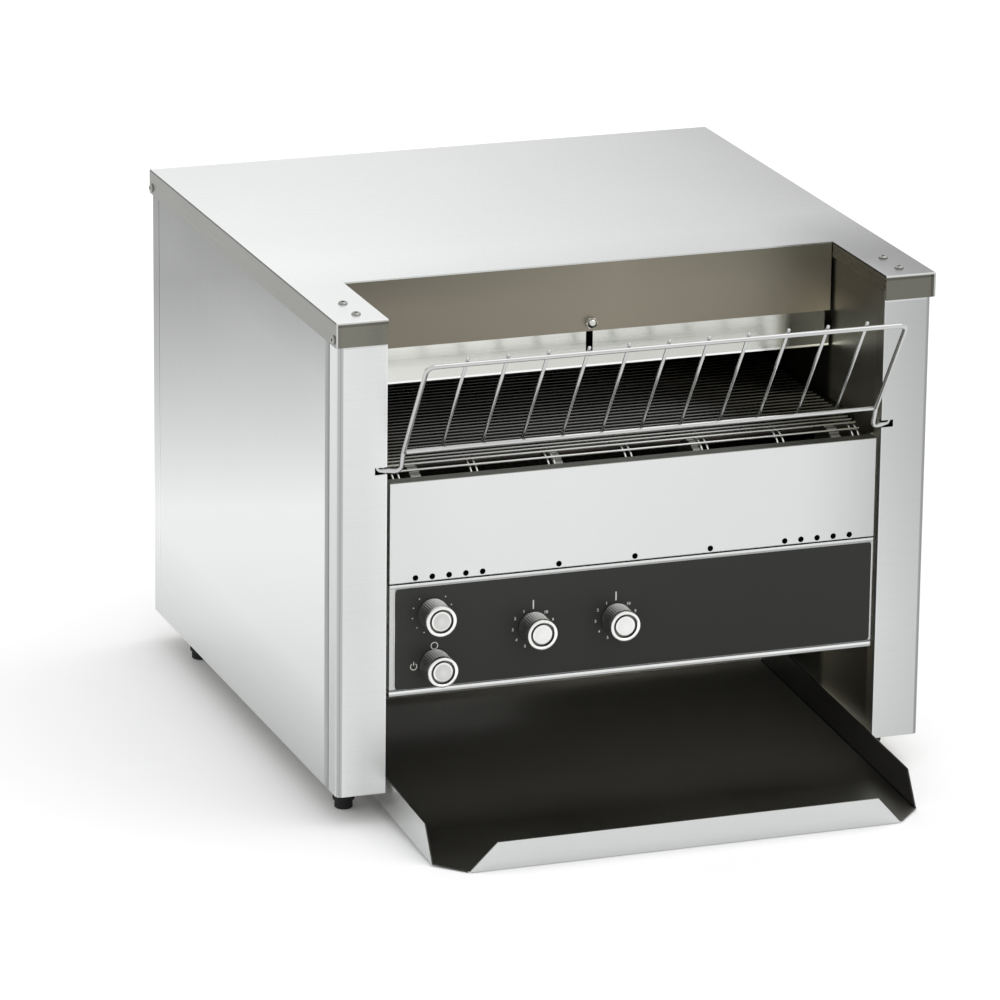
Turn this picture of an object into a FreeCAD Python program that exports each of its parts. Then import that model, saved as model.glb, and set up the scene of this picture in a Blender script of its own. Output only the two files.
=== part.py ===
import FreeCAD, Part
import math
import os

# Conveyor toaster for a counter, in millimetres.
# X runs to the right as seen from the front, the front faces -Y and +Z is up.
# The origin is the middle of the whole object's base, on the counter.

os.makedirs("parts", exist_ok=True)
V = FreeCAD.Vector
AXIS_X = V(1, 0, 0)
AXIS_Y = V(0, 1, 0)
AXIS_Z = V(0, 0, 1)

# Case
case_width = 480.0
case_depth = 478.0
leg_height = 25.0
skin = 1.2
liner = 1.0
seat_gap = 0.3
edge_match = 0.3
cut_overrun = 2.0

# Cover with a throat cut into its front
ear_width = 40.7
throat_depth = 106.7
flange_drop = 19.3
hem_drop = 12.0
flange_side_gap = 0.9
cover_edge_radius = 0.9

# Front pillars, side panels and inner walls
pillar_side_return = 20.0
pillar_inner_return = 14.0
pillar_bend = 5.0
pillar_top_tab_depth = 58.0
wall_lap = 6.0
panel_groove = 1.2
rear_inset = 2.0
crease_from_rear = 17.0
crease_width = 1.4
crease_depth = 0.5
panel_bend_return = 12.0
panel_rear_return = 16.0

# Front panel above the controls
front_recess = 1.5
panel_side_gap = 2.8
front_panel_height = 79.1
front_panel_return = 11.0
panel_side_return = 14.0
front_panel_hole_radius = 2.3
front_panel_hole_rise = 2.3
hole_pitch = 13.35
outer_hole_side_in = 20.6
outer_hole_count = 5
middle_hole_pitch = 61.4
middle_hole_count = 3

# Control panel
control_bottom = 75.2
control_height = 88.3
overlay_left_margin = 4.7
overlay_right_margin = 2.2
overlay_top_margin = 3.5
overlay_bottom_margin = 5.8
overlay_corner = 2.5
overlay_thickness = 0.5
control_edge_radius = 0.8
panel_line_gap = 0.9

# Control places, from the left end and the bottom of the control frame
power_knob_in = 35.7
speed_knob_in = 34.1
top_heat_knob_in = 114.8
bottom_heat_knob_in = 181.5
power_knob_up = 23.4
heat_knob_up = 45.0
speed_knob_up = 63.7

# Knobs and what they turn
knob_radius = 12.0
knob_body_length = 17.0
knob_cap_length = 4.0
knob_gap = 1.0
knob_wall = 3.0
flute_radius = 0.9
flute_depth = 0.35
flute_count = 24
cap_ring_width = 2.6
cap_groove_width = 1.9
cap_groove_depth = 2.4
cap_dome_drop = 0.4
cap_chamfer = 0.6
cap_spigot_radius = 4.0
cap_spigot_length = 3.0
spindle_radius = 3.0
spindle_fit = 0.05
bush_radius = 4.5
bush_hole_gap = 0.4
switch_side = 30.0
switch_length = 34.0
dial_side = 36.0
dial_length = 30.0
spindle_inside = 8.0

# Box behind the control panel
control_box_depth = 160.0
control_box_belt_gap = 6.0

# Wire feed rack
rack_wire = 3.6
cross_wire = 2.6
rack_side_gap = 9.3
rack_pin_beyond = 7.2
rack_pin_over_belt = 4.5
rack_leg_out = 4.0
rack_tail = 12.0
rack_tail_bend = 2.8
rack_low_out = 9.5
rack_low_rise = 16.5
rack_top_out = 63.0
rack_top_rise = 80.0
cross_wire_end_in = 31.5
cross_wire_count = 11
cross_wire_stub = 3.5
cross_wire_foot = 1.8
rack_bend = 6.0
rack_slot_under = 0.9
rack_slot_over = 1.1
rack_slot_end_gap = 0.6

# Belt and its wheels
belt_over_panel = 6.5
belt_side_gap = 10.8
belt_turn_radius = 25.0
belt_nose_in = 9.0
belt_tail_from_back = 53.0
belt_wire_radius = 1.0
belt_rod_pitch = 7.8
link_band_width = 3.0
link_band_thickness = 1.2
link_band_gap = 0.1
link_band_count = 7
link_band_edge = 3.0
wheel_clearance = 0.4
wheel_width = 8.0
wheel_count = 4
wheel_edge = 20.0
wheel_hub_radius = 10.0
wheel_hub_width = 16.0
wheel_tooth_count = 24
wheel_tooth_depth = 1.6
wheel_fit = 0.05
shaft_radius = 5.0
shaft_fit = 0.05
shaft_end_reach = 12.0
journal_bush_radius = 8.0
journal_bush_flange = 11.0
journal_bush_flange_thickness = 2.0
journal_bush_reach = 4.0
bush_seat_gap = 0.1
guide_rail_width = 12.0
guide_rail_height = 6.0
guide_rail_drop = 0.5
guide_rail_sheet = 1.5

# Throat back plate and height gate
bread_clearance = 38.5
gate_below_plate = 28.5
throat_plate_height = 55.0
gate_height = 47.0
gate_end_gap = 2.0
gate_lip = 8.0
gate_slot_width = 5.6
gate_hang_gap = 0.4
gate_slot_up = 11.0
gate_notch_width = 4.0
gate_notch_up = 13.2
gate_notch_height = 24.3
gate_stud_radius = 2.4
gate_stud_up = 7.2
gate_stud_out = 6.0
gate_washer_thickness = 1.0
gate_washer_radius = 6.5
dome_nut_radius = 4.6
dome_nut_hex = 4.0
dome_share = 0.84
dome_fit = 0.05

# Heaters and reflectors
heater_radius = 4.0
heater_hole_gap = 0.4
upper_heater_over_belt = 53.0
upper_heater_behind_throat = 41.3
upper_heater_from_back = 132.0
upper_heater_count = 4
lower_heater_front_run = 64.0
lower_heater_rear_run = 74.0
lower_heater_count = 4
heater_end_reach = 5.0
terminal_pin_radius = 1.6
terminal_pin_length = 7.0
insulator_radius = 8.0
insulator_length = 4.0
insulator_gap = 0.15
reflector_behind_throat = 17.3
reflector_from_back = 50.0
reflector_over_heater = 19.0
reflector_drop = 26.0
lower_reflector_front_run = 32.0
lower_reflector_rear_run = 34.0
lower_reflector_below_heater = 11.0
lower_reflector_lip = 7.0

# Way down to the tray
ramp_from_back = 26.0
ramp_run = 240.0
ramp_tray_wall_gap = 3.1
ramp_under_belt = 22.0
ramp_side_height = 14.0
deflector_from_back = 15.0
deflector_over_reflector = 8.0
deflector_curl = 24.0
deflector_brow = 22.0

# Toast tray
tray_reach = 122.0
tray_side_gap = 3.8
tray_sheet = 1.0
tray_slope_degrees = 3.1
tray_wall_height = 25.4
tray_wall_slant = 19.0
tray_corner = 22.0
tray_lip_height = 23.6
tray_lip_mitre = 21.0
tray_lip_lean_degrees = 7.0
tray_under_ramp = 3.0
tray_ground_gap = 0.4

# Base pan
base_sheet = 1.2
base_flange = 10.0
tray_shelf_from_rear = 12.0
tray_shelf_width = 18.0
base_wall_gap = 0.5

# Feet
foot_side_in = 20.5
foot_front_in = 47.0
foot_from_back = 61.0
foot_radius = 7.0
foot_low_height = 7.0
foot_ring_radius = 8.4
foot_ring_height = 2.4
foot_neck_radius = 7.6
foot_recess_depth = 3.0
foot_edge = 0.8
foot_screw_radius = 2.5
foot_screw_head_radius = 4.5
foot_screw_head_height = 2.0
foot_nut_radius = 4.6
foot_nut_height = 4.0

# Drive in the right-hand side bay
sprocket_width = 4.0
sprocket_bush_gap = 1.0
chain_pitch = 9.525
chain_roller_radius = 2.5
chain_inner_width = 5.0
chain_plate = 1.0
chain_plate_height = 8.0
chain_plate_gap = 0.1
chain_pin_radius = 1.5
chain_pin_fit = 0.05
motor_teeth = 12
drive_teeth = 18
tooth_depth = 2.2
sprocket_chain_gap = 0.4
sprocket_fit = 0.05
sprocket_hub_radius = 9.0
sprocket_hub_width = 5.0
motor_from_back = 113.0
motor_height = 48.0
motor_radius = 29.0
motor_length = 84.0
gearbox_side = 60.0
gearbox_length = 42.0
gearbox_boss_radius = 12.0
motor_shaft_inside = 16.0
motor_shaft_reach = 6.0
motor_wall_gap = 0.3
motor_cap_length = 8.0
motor_cap_step = 3.0

# Cooling fan on the rear panel
fan_side = 60.0
fan_depth = 25.0
fan_bore_radius = 28.0
fan_tip_gap = 1.2
fan_hub_radius = 13.0
fan_hub_length = 18.0
fan_pin_radius = 1.5
fan_pin_fit = 0.05
fan_blade_count = 7
fan_blade_thickness = 1.4
fan_blade_lean_degrees = 38.0
fan_strut_width = 5.0
fan_strut_turns = (45, 135)
fan_strut_depth = 3.0
fan_strut_overlap = 0.5
fan_side_in = 80.0
fan_height = 48.0
fan_hole_radius = 2.2
fan_hole_inset = 5.0
fan_corner = 4.0
fan_grille_width = 3.0
fan_grille_count = 7
fan_rotor_gap = 0.6

# Rear panel, its louvre, gland and terminal block
louvre_top_drop = 19.0
louvre_height = 30.0
louvre_out = 6.0
louvre_side_in = 16.0
slot_count = 14
slot_length = 60.0
slot_width = 4.0
slot_pitch = 12.0
slot_first_height = 100.0
gland_side_in = 80.0
gland_height = 40.0
gland_hole_radius = 10.0
gland_reach = 16.0
gland_flange_radius = 14.0
gland_flange_length = 5.0
gland_hex_radius = 12.5
gland_bore_radius = 5.0
gland_inside = 9.0
gland_gap = 0.1
block_length = 58.0
block_depth = 22.0
block_height = 20.0
block_ways = 4
block_way_gap = 3.0
block_from_rear = 40.0
block_screw_radius = 2.6
block_screw_depth = 5.0
block_row_share = 0.25

# Screws
screw_head_radius = 3.6
screw_head_height = 1.6
screw_head_rim_share = 0.4
screw_head_top_share = 0.72
screw_shank_radius = 1.9
screw_length = 5.0
screw_hole_gap = 0.2
ear_screw_side_in = 22.0
ear_screw_front_in = 20.0
ear_screw_pitch = 31.0
ear_screw_count = 2
screw_recess_radius = 1.4
screw_recess_depth = 1.0
flange_screw_in = 6.0
flange_screw_drop = 14.0
rear_screw_side_in = 9.0
rear_screw_count = 4
rear_screw_end_in = 30.0

# Places worked out from the sizes above
case_half = case_width / 2
control_top = control_bottom + control_height
front_panel_bottom = control_top + panel_line_gap
front_panel_top = front_panel_bottom + front_panel_height
belt_top_height = front_panel_top + belt_over_panel
gate_bottom = belt_top_height + bread_clearance
throat_plate_bottom = gate_bottom + gate_below_plate
case_height = throat_plate_bottom + throat_plate_height
rear_reach = max(gland_reach - skin, louvre_out) - rear_inset
front_y = (tray_reach - case_depth - rear_reach) / 2
back_y = front_y + case_depth
base_z = leg_height
top_z = base_z + case_height
cover_under_z = top_z - skin
throat_half = case_half - ear_width
throat_back_y = front_y + throat_depth
side_x = case_half - skin - flange_side_gap
pillar_y = front_y + skin + seat_gap
pillar_back_y = pillar_y + pillar_side_return
panel_rear_y = back_y - rear_inset
rear_panel_y = panel_rear_y - skin
wall_x = throat_half + skin + seat_gap
wall_out_x = wall_x + liner
front_face_y = pillar_y + front_recess
panel_half = throat_half - panel_side_gap
overlay_half = panel_half - (overlay_left_margin + overlay_right_margin) / 2
overlay_middle_x = (overlay_left_margin - overlay_right_margin) / 2
control_face_y = front_face_y - overlay_thickness
overlay_bottom_z = base_z + control_bottom + overlay_bottom_margin
overlay_top_z = base_z + control_top - overlay_top_margin
rack_tail_y = pillar_y + skin + seat_gap + rack_wire / 2
rack_pin_z = base_z + belt_top_height + rack_pin_over_belt
rack_half_length = throat_half - rack_side_gap
rack_pin_reach = throat_half + rack_pin_beyond
belt_z = base_z + belt_top_height - belt_turn_radius
belt_half_width = wall_x - belt_side_gap
belt_front_y = front_y + belt_nose_in + belt_turn_radius
belt_rear_y = back_y - belt_tail_from_back - belt_turn_radius
bay_x = wall_out_x + journal_bush_reach + sprocket_bush_gap + sprocket_hub_width + sprocket_width / 2
motor_y = back_y - motor_from_back
motor_z = base_z + motor_height
gate_y = throat_back_y + liner + seat_gap
gate_stud_z = base_z + throat_plate_bottom + gate_stud_up
upper_heater_z = base_z + belt_top_height + upper_heater_over_belt
upper_reflector_z = upper_heater_z + reflector_over_heater
ramp_rear_y = back_y - ramp_from_back
ramp_front_y = ramp_rear_y - ramp_run
ramp_rear_z = base_z + belt_top_height - 2 * belt_turn_radius - ramp_under_belt
tray_half_width = throat_half - tray_side_gap
tray_rear_y = ramp_front_y + tray_under_ramp
tray_shelf_y = tray_rear_y - tray_shelf_from_rear
louvre_top = case_height - louvre_top_drop
louvre_bottom = louvre_top - louvre_height


def block(x_span, y_span, z_span):
    size = (x_span[1] - x_span[0], y_span[1] - y_span[0], z_span[1] - z_span[0])
    return Part.makeBox(size[0], size[1], size[2], V(x_span[0], y_span[0], z_span[0]))


def rod(start, end, radius):
    way = end - start
    return Part.makeCylinder(radius, way.Length, start, way)


def slab(points, way):
    return Part.Face(Part.makePolygon(points + [points[0]])).extrude(way)


def turned(profile, centre, axis):
    """A solid of revolution from radius and height pairs along an axis."""
    points = [V(radius, 0, height) for radius, height in profile]
    face = Part.Face(Part.makePolygon(points + [points[0]]))
    solid = face.revolve(V(0, 0, 0), AXIS_Z, 360)
    solid.Placement = FreeCAD.Placement(centre, FreeCAD.Rotation(AXIS_Z, axis))
    return solid


def rounded_face(half_x, z_span, y, radius):
    """An upright rectangle in the XZ plane with rounded corners."""
    low, high = z_span
    edges = []
    quarter = 360 / 4
    corners = [(half_x, high), (-half_x, high), (-half_x, low), (half_x, low)]
    ends = []
    for index, (x, z) in enumerate(corners):
        turn = quarter * index
        middle = V(x - math.copysign(radius, x), y, z - math.copysign(radius, z - (low + high) / 2))
        arc = []
        for angle in (turn, turn + quarter / 2, turn + quarter):
            way = V(math.cos(math.radians(angle)), 0, math.sin(math.radians(angle)))
            arc.append(middle + way * radius)
        ends.append(arc)
    for index, arc in enumerate(ends):
        edges.append(Part.Arc(arc[0], arc[1], arc[2]).toShape())
        edges.append(Part.makeLine(arc[2], ends[(index + 1) % len(ends)][0]))
    return Part.Face(Part.Wire(edges))


def bent_wire(points, radius, bends):
    """A round wire through the points, with its own bend at each corner."""
    edges = []
    last = points[0]
    for before, corner, after, bend in zip(points, points[1:], points[2:], bends):
        back = (before - corner).normalize()
        ahead = (after - corner).normalize()
        half = back.getAngle(ahead) / 2
        reach = bend / math.tan(half)
        first = corner + back * reach
        second = corner + ahead * reach
        middle_way = (back + ahead).normalize()
        middle = corner + middle_way * (bend / math.sin(half) - bend)
        edges.append(Part.makeLine(last, first))
        edges.append(Part.Arc(first, middle, second).toShape())
        last = second
    edges.append(Part.makeLine(last, points[-1]))
    path = Part.Wire(edges)
    circle = Part.makeCircle(radius, points[0], points[1] - points[0])
    return path.makePipeShell([Part.Wire([circle])], True, False)


def mirrored(shape):
    return shape.mirror(V(0, 0, 0), AXIS_X)


def save(name, *solids):
    shape = solids[0] if len(solids) == 1 else Part.makeCompound(list(solids))
    if not shape.isValid():
        print("not valid:", name)
    shape.exportStep("parts/" + name + ".step")


def spread(first, pitch, count):
    return [first + pitch * index for index in range(count)]


def centred(pitch, count):
    return spread(-pitch * (count - 1) / 2, pitch, count)


# Cover

def ear_screw_places():
    places = []
    for side in (-1, 1):
        for y in spread(front_y + ear_screw_front_in, ear_screw_pitch, ear_screw_count):
            places.append(V(side * (case_half - ear_screw_side_in), y, top_z))
    return places


def flange_screw_places():
    places = []
    for side in (-1, 1):
        for y in (front_y + flange_screw_in, back_y - flange_screw_in):
            places.append(V(side * case_half, y, top_z - flange_screw_drop))
    return places


def top_cover():
    top = block((-case_half, case_half), (front_y, back_y), (cover_under_z, top_z))
    throat = block((-throat_half, throat_half), (front_y - cut_overrun, throat_back_y),
                   (cover_under_z - cut_overrun, top_z + cut_overrun))
    cover = top.cut(throat)
    flange = (top_z - flange_drop, top_z)
    hem = (top_z - hem_drop, top_z)
    pieces = [block((-case_half, case_half), (back_y - skin, back_y), flange)]
    for side in (-1, 1):
        outer = sorted((side * case_half, side * (case_half - skin)))
        inner = sorted((side * throat_half, side * (throat_half + skin)))
        ear = sorted((side * case_half, side * throat_half))
        pieces.append(block(outer, (front_y, back_y), flange))
        pieces.append(block(ear, (front_y, front_y + skin), flange))
        pieces.append(block(inner, (front_y, throat_back_y), hem))
    cover = cover.fuse(pieces).removeSplitter()
    edges = [edge for edge in cover.Edges if is_cover_edge(edge)]
    cover = cover.makeFillet(cover_edge_radius, edges)
    return cover.cut(screw_holes(ear_screw_places(), AXIS_Z) + flange_screw_holes())


def is_cover_edge(edge):
    """True for the long outside bends round the cover's top face."""
    ends = [vertex.Point for vertex in edge.Vertexes]
    if len(ends) < 2 or min(point.z for point in ends) < top_z - edge_match:
        return False
    middle = (ends[0] + ends[-1]) / 2
    on_side = abs(abs(middle.x) - case_half) < edge_match
    on_back = abs(middle.y - back_y) < edge_match
    on_ear = abs(middle.y - front_y) < edge_match
    return on_side or on_back or on_ear


# Pillars and walls

def left_pillar():
    inner = -throat_half
    outer = -side_x
    back = pillar_y + pillar_side_return
    z_span = (base_z, cover_under_z)
    face = block((outer, inner), (pillar_y, pillar_y + skin), z_span)
    side = block((outer, outer + skin), (pillar_y, back), z_span)
    turn_in = block((inner - skin, inner), (pillar_y, pillar_y + pillar_inner_return), z_span)
    pillar = face.fuse([side, turn_in]).removeSplitter()
    corner_solid = block((outer, outer + pillar_bend), (pillar_y, pillar_y + pillar_bend), z_span)
    centre = V(outer + pillar_bend, pillar_y + pillar_bend, base_z)
    tube = Part.makeCylinder(pillar_bend, case_height - skin, centre)
    bore = Part.makeCylinder(pillar_bend - skin, case_height - skin, centre)
    bend = tube.cut(bore).common(corner_solid)
    pillar = pillar.cut(corner_solid).fuse(bend).removeSplitter()
    half_wire = rack_wire / 2
    slot_length = rack_pin_beyond + half_wire + rack_slot_end_gap
    slot = block((inner - slot_length, inner + cut_overrun),
                 (pillar_y - cut_overrun, rack_tail_y + rack_wire),
                 (rack_pin_z - half_wire - rack_slot_under, rack_pin_z + half_wire + rack_slot_over))
    hem_notch = block((inner - skin - seat_gap, inner + cut_overrun),
                      (pillar_y - cut_overrun, pillar_y + pillar_inner_return + cut_overrun),
                      (top_z - hem_drop - seat_gap, top_z))
    pillar = pillar.cut([slot, hem_notch])
    foot_tab = block((outer + skin, inner - skin), (pillar_y + skin, pillar_y + pillar_inner_return),
                     (base_z, base_z + base_sheet))
    top_tab = block((outer + panel_bend_return + seat_gap, -wall_out_x - seat_gap),
                    (pillar_y + skin, pillar_y + pillar_top_tab_depth),
                    (cover_under_z - skin, cover_under_z))
    pillar = pillar.fuse([foot_tab, top_tab]).removeSplitter()
    return pillar.cut(screw_holes(ear_screw_places(), AXIS_Z) + flange_screw_holes())


def screw_holes(places, way):
    """Clearance holes for screw shanks along one direction."""
    reach = screw_length + cut_overrun
    radius = screw_shank_radius + screw_hole_gap
    return [rod(place - way * reach, place + way * reach, radius) for place in places]


def flange_screw_holes():
    return screw_holes(flange_screw_places(), AXIS_X)


def left_side_panel():
    front = pillar_back_y + panel_groove
    z_span = (base_z, cover_under_z)
    outer = -side_x
    sheet = block((outer, outer + skin), (front, panel_rear_y), z_span)
    turn_in = block((outer, outer + panel_bend_return), (front, front + skin),
                    (base_z + base_sheet, cover_under_z))
    crease_y = panel_rear_y - crease_from_rear
    crease = block((outer - cut_overrun, outer + crease_depth), (crease_y, crease_y + crease_width),
                   (base_z - cut_overrun, top_z))
    rear_turn = block((outer, outer + panel_rear_return),
                      (rear_panel_y - seat_gap - skin, rear_panel_y - seat_gap),
                      (base_z + base_flange + seat_gap, cover_under_z))
    panel = sheet.fuse([turn_in, rear_turn]).removeSplitter()
    return panel.cut([crease] + flange_screw_holes() + screw_holes(rear_screw_places(), AXIS_Y))


def left_inner_wall():
    front = pillar_y + pillar_inner_return - wall_lap
    wall = block((-wall_out_x, -wall_x), (front, rear_panel_y - 2 * seat_gap - base_sheet),
                 (base_z + base_sheet, cover_under_z))
    cutters = [wall_hole(-1, belt_front_y, belt_z, journal_bush_radius + bush_seat_gap),
               wall_hole(-1, belt_rear_y, belt_z, journal_bush_radius + bush_seat_gap)]
    for place in heater_places():
        cutters.append(wall_hole(-1, place.y, place.z, heater_radius + heater_hole_gap))
    return wall.cut(cutters)


def right_inner_wall():
    hole = wall_hole(1, motor_y, motor_z, gearbox_boss_radius + bush_seat_gap)
    return mirrored(left_inner_wall()).cut(hole)


def wall_hole(side, y, z, radius):
    start = V(side * (wall_x - cut_overrun), y, z)
    end = V(side * (wall_out_x + cut_overrun), y, z)
    return rod(start, end, radius)


# Base, feet and rear panel

def foot_places():
    places = []
    for side in (-1, 1):
        for y in (front_y + foot_front_in, back_y - foot_from_back):
            places.append(V(side * (side_x - foot_side_in), y, 0))
    return places


def tray_under_z(y):
    """Height of the tray's underside at a place along the case's depth."""
    run = y - front_y + tray_reach
    return tray_ground_gap + run * math.tan(math.radians(tray_slope_degrees))


def base_pan():
    shelf_z = tray_under_z(tray_shelf_y) - seat_gap - base_sheet
    half = side_x - skin - seat_gap
    front = pillar_y + pillar_inner_return + seat_gap
    rear = rear_panel_y - seat_gap
    centre_front = tray_shelf_y + tray_shelf_width
    floor_span = (base_z, base_z + base_sheet)
    inner_half = wall_x - base_wall_gap
    pieces = []
    for side in (-1, 1):
        strip = sorted((side * inner_half, side * half))
        pieces.append(block(strip, (front, rear), floor_span))
    pieces.append(block((-inner_half, inner_half),
                        (tray_shelf_y, centre_front),
                        (shelf_z, shelf_z + base_sheet)))
    pieces.append(block((-inner_half, inner_half), (centre_front - base_sheet, centre_front),
                        (shelf_z, base_z + base_sheet)))
    rear_flange = block((-half, half), (rear - base_sheet, rear),
                        (base_z, base_z + base_flange))
    pieces.append(rear_flange)
    centre = block((-inner_half, inner_half), (centre_front - base_sheet, rear), floor_span)
    pan = centre.fuse(pieces).removeSplitter()
    for place in foot_places():
        foot_hole = rod(place, place + AXIS_Z * top_z, foot_screw_radius + screw_hole_gap)
        pan = pan.cut(foot_hole)
    return pan


def rubber_foot(place):
    profile = [(foot_screw_radius + screw_hole_gap, leg_height),
               (foot_screw_radius + screw_hole_gap, foot_recess_depth + foot_screw_head_height),
               (foot_screw_head_radius + screw_hole_gap, foot_recess_depth + foot_screw_head_height),
               (foot_screw_head_radius + screw_hole_gap, 0),
               (foot_radius - foot_edge, 0),
               (foot_radius, foot_edge),
               (foot_radius, foot_low_height),
               (foot_ring_radius, foot_low_height),
               (foot_ring_radius, foot_low_height + foot_ring_height),
               (foot_neck_radius, foot_low_height + foot_ring_height),
               (foot_neck_radius, leg_height)]
    return turned(profile, place, AXIS_Z)


def foot_screw(place):
    head_z = foot_recess_depth
    nut_z = leg_height + base_sheet
    head = rod(place + AXIS_Z * head_z, place + AXIS_Z * (head_z + foot_screw_head_height),
               foot_screw_head_radius)
    shank = rod(place + AXIS_Z * head_z, place + AXIS_Z * (nut_z + foot_nut_height),
                foot_screw_radius)
    nut = hexagon(place + AXIS_Z * nut_z, foot_nut_radius, AXIS_Z, foot_nut_height)
    return head.fuse([shank, nut]).removeSplitter()


def hexagon(centre, radius, axis, height):
    points = []
    for index in range(6):
        angle = math.radians(360 / 6 * index)
        points.append(V(radius * math.cos(angle), radius * math.sin(angle), 0))
    solid = slab(points, AXIS_Z * height)
    solid.Placement = FreeCAD.Placement(centre, FreeCAD.Rotation(AXIS_Z, axis))
    return solid


def fan_centre():
    return V(wall_x - fan_side_in - fan_side / 2, rear_panel_y, base_z + fan_height)


def gland_centre():
    return V(-wall_x + gland_side_in, rear_panel_y, base_z + gland_height)


def rear_screw_places():
    places = []
    rise = (case_height - 2 * rear_screw_end_in) / (rear_screw_count - 1)
    for side in (-1, 1):
        for z in spread(base_z + rear_screw_end_in, rise, rear_screw_count):
            places.append(V(side * (side_x - rear_screw_side_in), panel_rear_y, z))
    return places


def fan_grille_cuts():
    """Level slots that fill the fan's round opening."""
    centre = fan_centre()
    pitch = 2 * fan_bore_radius / fan_grille_count
    cuts = []
    for offset in centred(pitch, fan_grille_count):
        reach = abs(offset) + fan_grille_width / 2
        half = math.sqrt(max(fan_bore_radius ** 2 - reach ** 2, fan_grille_width ** 2))
        cuts.append(block((centre.x - half, centre.x + half),
                          (rear_panel_y - cut_overrun, panel_rear_y + cut_overrun),
                          (centre.z + offset - fan_grille_width / 2,
                           centre.z + offset + fan_grille_width / 2)))
    return cuts


def fan_screw_places():
    centre = fan_centre()
    reach = fan_side / 2 - fan_hole_inset
    return [centre + V(x * reach, skin, z * reach) for x in (-1, 1) for z in (-1, 1)]


def rear_panel():
    half = side_x - skin - seat_gap
    z_span = (base_z + seat_gap, cover_under_z)
    panel = block((-half, half), (rear_panel_y, panel_rear_y), z_span)
    louvre_half = half - louvre_side_in
    bulge = slab([V(-louvre_half, panel_rear_y - skin, base_z + louvre_top),
                  V(-louvre_half, panel_rear_y + louvre_out, base_z + louvre_bottom + skin),
                  V(-louvre_half, panel_rear_y + louvre_out, base_z + louvre_bottom),
                  V(-louvre_half, panel_rear_y - skin, base_z + louvre_bottom)],
                 AXIS_X * (2 * louvre_half))
    hollow = slab([V(skin - louvre_half, rear_panel_y, base_z + louvre_top - 2 * skin),
                   V(skin - louvre_half, panel_rear_y + louvre_out - skin,
                     base_z + louvre_bottom + skin),
                   V(skin - louvre_half, panel_rear_y + louvre_out - skin,
                     base_z + louvre_bottom - cut_overrun),
                   V(skin - louvre_half, rear_panel_y, base_z + louvre_bottom - cut_overrun)],
                  AXIS_X * (2 * louvre_half - 2 * skin))
    opening = block((skin - louvre_half, louvre_half - skin),
                    (rear_panel_y - cut_overrun, panel_rear_y),
                    (base_z + louvre_bottom, base_z + louvre_top - 2 * skin))
    panel = panel.fuse(bulge).removeSplitter().cut([hollow, opening])
    panel = panel.cut(fan_grille_cuts())
    cutters = [rod(gland_centre() - AXIS_Y * cut_overrun,
                   gland_centre() + AXIS_Y * (skin + cut_overrun), gland_hole_radius)]
    cutters += screw_holes(fan_screw_places() + rear_screw_places(), AXIS_Y)
    for x in centred(slot_pitch, slot_count):
        cutters.append(block((x - slot_width / 2, x + slot_width / 2),
                             (rear_panel_y - cut_overrun, panel_rear_y + cut_overrun),
                             (base_z + slot_first_height, base_z + slot_first_height + slot_length)))
    return panel.cut(cutters)


def cord_gland():
    centre = gland_centre()
    profile = [(gland_bore_radius, -gland_inside),
               (gland_hole_radius - gland_gap, -gland_inside),
               (gland_hole_radius - gland_gap, skin),
               (gland_flange_radius, skin),
               (gland_flange_radius, skin + gland_flange_length),
               (gland_hole_radius, gland_reach),
               (gland_bore_radius, gland_reach)]
    body = turned(profile, V(0, 0, 0), AXIS_Z)
    hex_nut = hexagon(V(0, 0, -gland_inside / 2 - gland_gap), gland_hex_radius, AXIS_Z,
                      gland_inside / 2)
    bore = Part.makeCylinder(gland_hole_radius - gland_gap, gland_inside, V(0, 0, -gland_inside))
    body = body.fuse(hex_nut.cut(bore)).removeSplitter()
    body.Placement = FreeCAD.Placement(centre, FreeCAD.Rotation(AXIS_Z, AXIS_Y))
    return body


def terminal_block():
    centre = gland_centre()
    rear = rear_panel_y - block_from_rear
    z = base_z + base_sheet
    body = block((centre.x - block_length / 2, centre.x + block_length / 2),
                 (rear - block_depth, rear), (z, z + block_height))
    pitch = block_length / block_ways
    for x in centred(pitch, block_ways - 1):
        body = body.cut(block((centre.x + x - block_way_gap / 2, centre.x + x + block_way_gap / 2),
                              (rear - block_depth - cut_overrun, rear + cut_overrun),
                              (z + block_height / 2, z + block_height + cut_overrun)))
    for x in centred(pitch, block_ways):
        for row_share in (block_row_share, 1 - block_row_share):
            y = rear - block_depth * row_share
            place = V(centre.x + x, y, z + block_height - block_screw_depth)
            body = body.cut(rod(place, place + AXIS_Z * (block_screw_depth + cut_overrun),
                                block_screw_radius))
    return body


# Screws

def pan_screw(place, way):
    """A pan-head screw whose head sits on the sheet at place."""
    rim = screw_head_height * screw_head_rim_share
    crown = screw_head_radius * screw_head_top_share
    head = turned([(0, 0), (screw_head_radius, 0), (screw_head_radius, rim),
                   (crown, screw_head_height), (0, screw_head_height)], place, way)
    shank = rod(place, place - way * screw_length, screw_shank_radius)
    top = place + way * screw_head_height
    recess = rod(top - way * screw_recess_depth, top + way * cut_overrun, screw_recess_radius)
    return head.fuse(shank).removeSplitter().cut(recess)


def panel_screws():
    screws = [pan_screw(place, AXIS_Z) for place in ear_screw_places()]
    for place in flange_screw_places():
        screws.append(pan_screw(place, AXIS_X * math.copysign(1, place.x)))
    for place in rear_screw_places() + fan_screw_places():
        screws.append(pan_screw(place, AXIS_Y))
    return screws


# Front panel and control panel

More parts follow.
